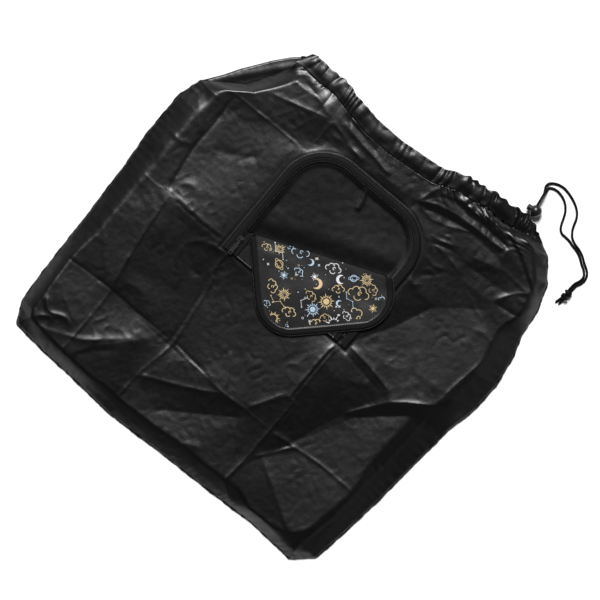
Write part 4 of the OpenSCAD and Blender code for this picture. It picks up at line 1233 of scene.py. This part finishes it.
SUNS = [("gold", 40, 18, 11.5, 16, True), ("blue", 33, -1, 10.5, 16, True), ("white", 66, 2, 12, 14, True),
        ("gold", 1, -43, 10, 20, True), ("gold", -8, -10, 9.5, 16, False), ("gold", -50, 32, 8.5, 12, False),
        ("gold", 62, 73, 9.5, 16, False), ("blue", -24, 9, 6.5, 12, True), ("white", 8, 33, 6.0, 10, True),
        ("gold", 92, 50, 6.5, 12, True)]
CLOUDS = [("gold", 66, 52, 12, 20), ("gold", 84, 28, 11, -25), ("gold", 12, -24, 8, 15),
          ("blue", -26, 45, 10, 25), ("gold", -27, -12, 8, -40), ("white", 20, 56, 9, 20),
          ("gold", 48, -13, 7, 30), ("blue", 96, 66, 6, 10), ("blue", -12, 24, 6, -10),
          ("gold", 42, 40, 7, 35)]
THIN_CLOUDS = [("gold", -64, 22, 6, 10), ("gold", 98, 30, 6, -60), ("blue", -18, -34, 5, 20),
               ("white", 72, 20, 6, -20), ("gold", 52, 0, 6, 60), ("gold", 76, 68, 7, -30),
               ("blue", -42, 42, 5, 15), ("gold", 20, 10, 7, -15), ("gold", 88, 12, 5, 40)]
CRESCENTS = [("gold", 16, 28, 7, -150), ("white", 36, 52, 6, 40), ("gold", 78, 84, 5, 100),
             ("blue", -8, 44, 4.5, 200), ("gold", 100, 42, 4.5, 160), ("blue", 54, 27, 4, 20)]
CONSTELLATIONS = [("white", [(-60, 34), (-52, 26), (-44, 30), (-38, 24)]),
                  ("blue", [(2, 62), (10, 66), (16, 72), (24, 70)]),
                  ("white", [(92, 76), (98, 70), (104, 74), (106, 64)]),
                  ("gold", [(-20, -22), (-12, -26), (-6, -20), (2, -22)]),
                  ("blue", [(52, 44), (58, 38), (66, 40), (72, 34)]),
                  ("white", [(20, -8), (14, -2), (18, 6)])]


def print_pattern():
    """A generic sky: suns, clouds, crescents, constellations and planets, with stars and dots between."""
    for sun in SUNS:
        draw_sun(*sun)
    for cloud in CLOUDS:
        draw_cloud(*cloud)
    for crescent in CRESCENTS:
        draw_crescent(*crescent)
    for cloud in THIN_CLOUDS:
        draw_cloud(*cloud, 0.7)
    for color, stars in CONSTELLATIONS:
        draw_line(color, stars, 0.5)
        for x, y in stars:
            draw_dot(color, x, y, 0.8)
    draw_planet("white", 30, -30, 9, 25)
    draw_planet("gold", -38, 16, 5, -20)
    draw_planet("blue", 48, 64, 4.2, 40)
    scatter = np.random.default_rng(5)
    for _ in range(170):
        x, y = scatter.uniform(-80, 118), scatter.uniform(-54, 96)
        kind, color = scatter.integers(0, 6), ("gold", "gold", "white", "blue")[scatter.integers(0, 4)]
        if kind == 0:
            draw_star(color, x, y, scatter.uniform(1.4, 2.6))
        elif kind == 1:
            draw_line(color, ring_points(x, y, scatter.uniform(0.9, 1.8), n=16), 0.45)
        else:
            draw_dot(color, x, y, scatter.uniform(0.3, 0.75))
    for color, (ink_material, parts) in INKS.items():
        points, faces = joined(parts)
        piece(f"print_{color}", points, faces, ink_material, "flap", ())


print_pattern()


# ---------------------------------------------------------------- slider, pull, stops and cord lock
def plate(corners, z0, z1):
    """A flat plate with straight sides from an outline."""
    n = len(corners)
    points = np.vstack([np.column_stack([corners, np.full(n, z)]) for z in (z0, z1)])
    return points, end_faces(2, n) + [[i, (i + 1) % n, (i + 1) % n + n, i + n] for i in range(n)]


def rounded_box(w, h, r, n=5):
    """Outline of a w by h rectangle with round corners."""
    out = []
    for cx, cy, a in ((w / 2 - r, h / 2 - r, 0), (-w / 2 + r, h / 2 - r, 90), (-w / 2 + r, -h / 2 + r, 180),
                      (w / 2 - r, -h / 2 + r, 270)):
        for k in range(n):
            t = math.radians(a + 90 * k / (n - 1))
            out.append((cx + r * math.cos(t), cy + r * math.sin(t)))
    return np.array(out)


def bevelled(o, width):
    m = o.modifiers.new("edges", "BEVEL")
    m.width = width * MM
    m.segments = 2
    m.limit_method = "ANGLE"


SLIDER_Y = 8.5                      # the slider's middle, where the flap's fold begins
BAR_Z = 28.98                       # height of the bar that the pull hangs on


def hardware():
    """The slider: two wings, the keel between them, two arches and the bar. The rest are CAD pieces."""
    at = np.array([KEEL_X, SLIDER_Y])
    wing = rounded_box(8, 9, 2.2)
    wing[:, 0] *= np.where(wing[:, 1] > 0, 0.92, 1.0)
    parts = [plate(wing + at, 24.2, 24.8), plate(wing + at, 26.8, 27.4),
             plate(rounded_box(0.8, 9, 0.3) + at, 24.5, 27.1)]
    for x in (KEEL_X - 2.58, KEEL_X + 2.58):
        arch = [(x, SLIDER_Y + y, z) for y, z in ((-1.9, 27.2), (-1.5, 28.4), (-0.6, 29.5), (0.6, 29.5),
                                                  (1.5, 28.4), (1.9, 27.2))]
        parts.append(tube(curve(arch, 4), 0.5, 10))
    parts.append(tube([(KEEL_X + x, SLIDER_Y, BAR_Z) for x in (-3.0, -1, 1, 3.0)], 0.66, 14))
    points, faces = joined(parts)
    body = piece("zip_slider_body", points, faces, ENAMEL, "slider", ["zip_slider"], False)
    bevelled(body, 0.16)
    for node in ("zip_pull", "zip_bottom_stop", "zip_top_stops"):
        paint(node, ENAMEL)
    for node in ("cord_lock_body", "cord_lock_plunger"):
        paint(node, PLASTIC)
    paint("cord_lock_spring", STEEL)


def paint(node, m):
    """Gives a CAD piece its material."""
    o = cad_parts[node]
    for k in range(len(o.material_slots)):
        o.material_slots[k].link = "DATA"
        o.data.materials[k] = m
    if not o.material_slots:
        o.data.materials.append(m)


hardware()


# ---------------------------------------------------------------- floor and light
def stage_and_light():
    bpy.ops.mesh.primitive_plane_add(size=14, location=(0, 0, 0))
    floor = bpy.context.object
    floor.name = "floor"
    floor.data.materials.append(material("floor_pale", (0.93, 0.93, 0.93), 0.9))
    world = bpy.data.worlds.new("studio")
    bpy.context.scene.world = world
    world.use_nodes = True
    world.node_tree.nodes["Background"].inputs["Color"].default_value = (0.95, 0.97, 1.0, 1)
    # A studio that is paler low down than overhead
    way = add(world, "ShaderNodeTexCoord")
    parts = add(world, "ShaderNodeSeparateXYZ")
    fade = add(world, "ShaderNodeMapRange")
    for key, value in (("From Min", 0.3), ("From Max", 0.75), ("To Min", 0.12), ("To Max", 0.012)):
        fade.inputs[key].default_value = value
    link(world, way, "Generated", parts, "Vector")
    link(world, parts, "Z", fade, "Value")
    link(world, fade, "Result", world.node_tree.nodes["Background"], "Strength")
    # Soft lamps: the side that each shines from, its angle from straight above, its power and its width
    for name, side, slant, power, width in (("key", LIGHT, 38, 4.9, 24), ("side", (0.9, 0.4), 52, 0.12, 40),
                                            ("front", (0.5, -0.85), 50, 0.04, 45)):
        data = bpy.data.lights.new(name, "SUN")
        data.energy = power
        data.angle = math.radians(width)
        lamp = bpy.data.objects.new(name, data)
        bpy.context.scene.collection.objects.link(lamp)
        lamp.location = (2.5 * side[0], 2.5 * side[1], 2.5)
        towards = Vector((*side, 0)).normalized() * math.sin(math.radians(slant))
        towards.z = math.cos(math.radians(slant))
        lamp.rotation_euler = (-towards).to_track_quat("-Z", "Y").to_euler()


stage_and_light()
bpy.context.scene.view_settings.view_transform = "Standard"
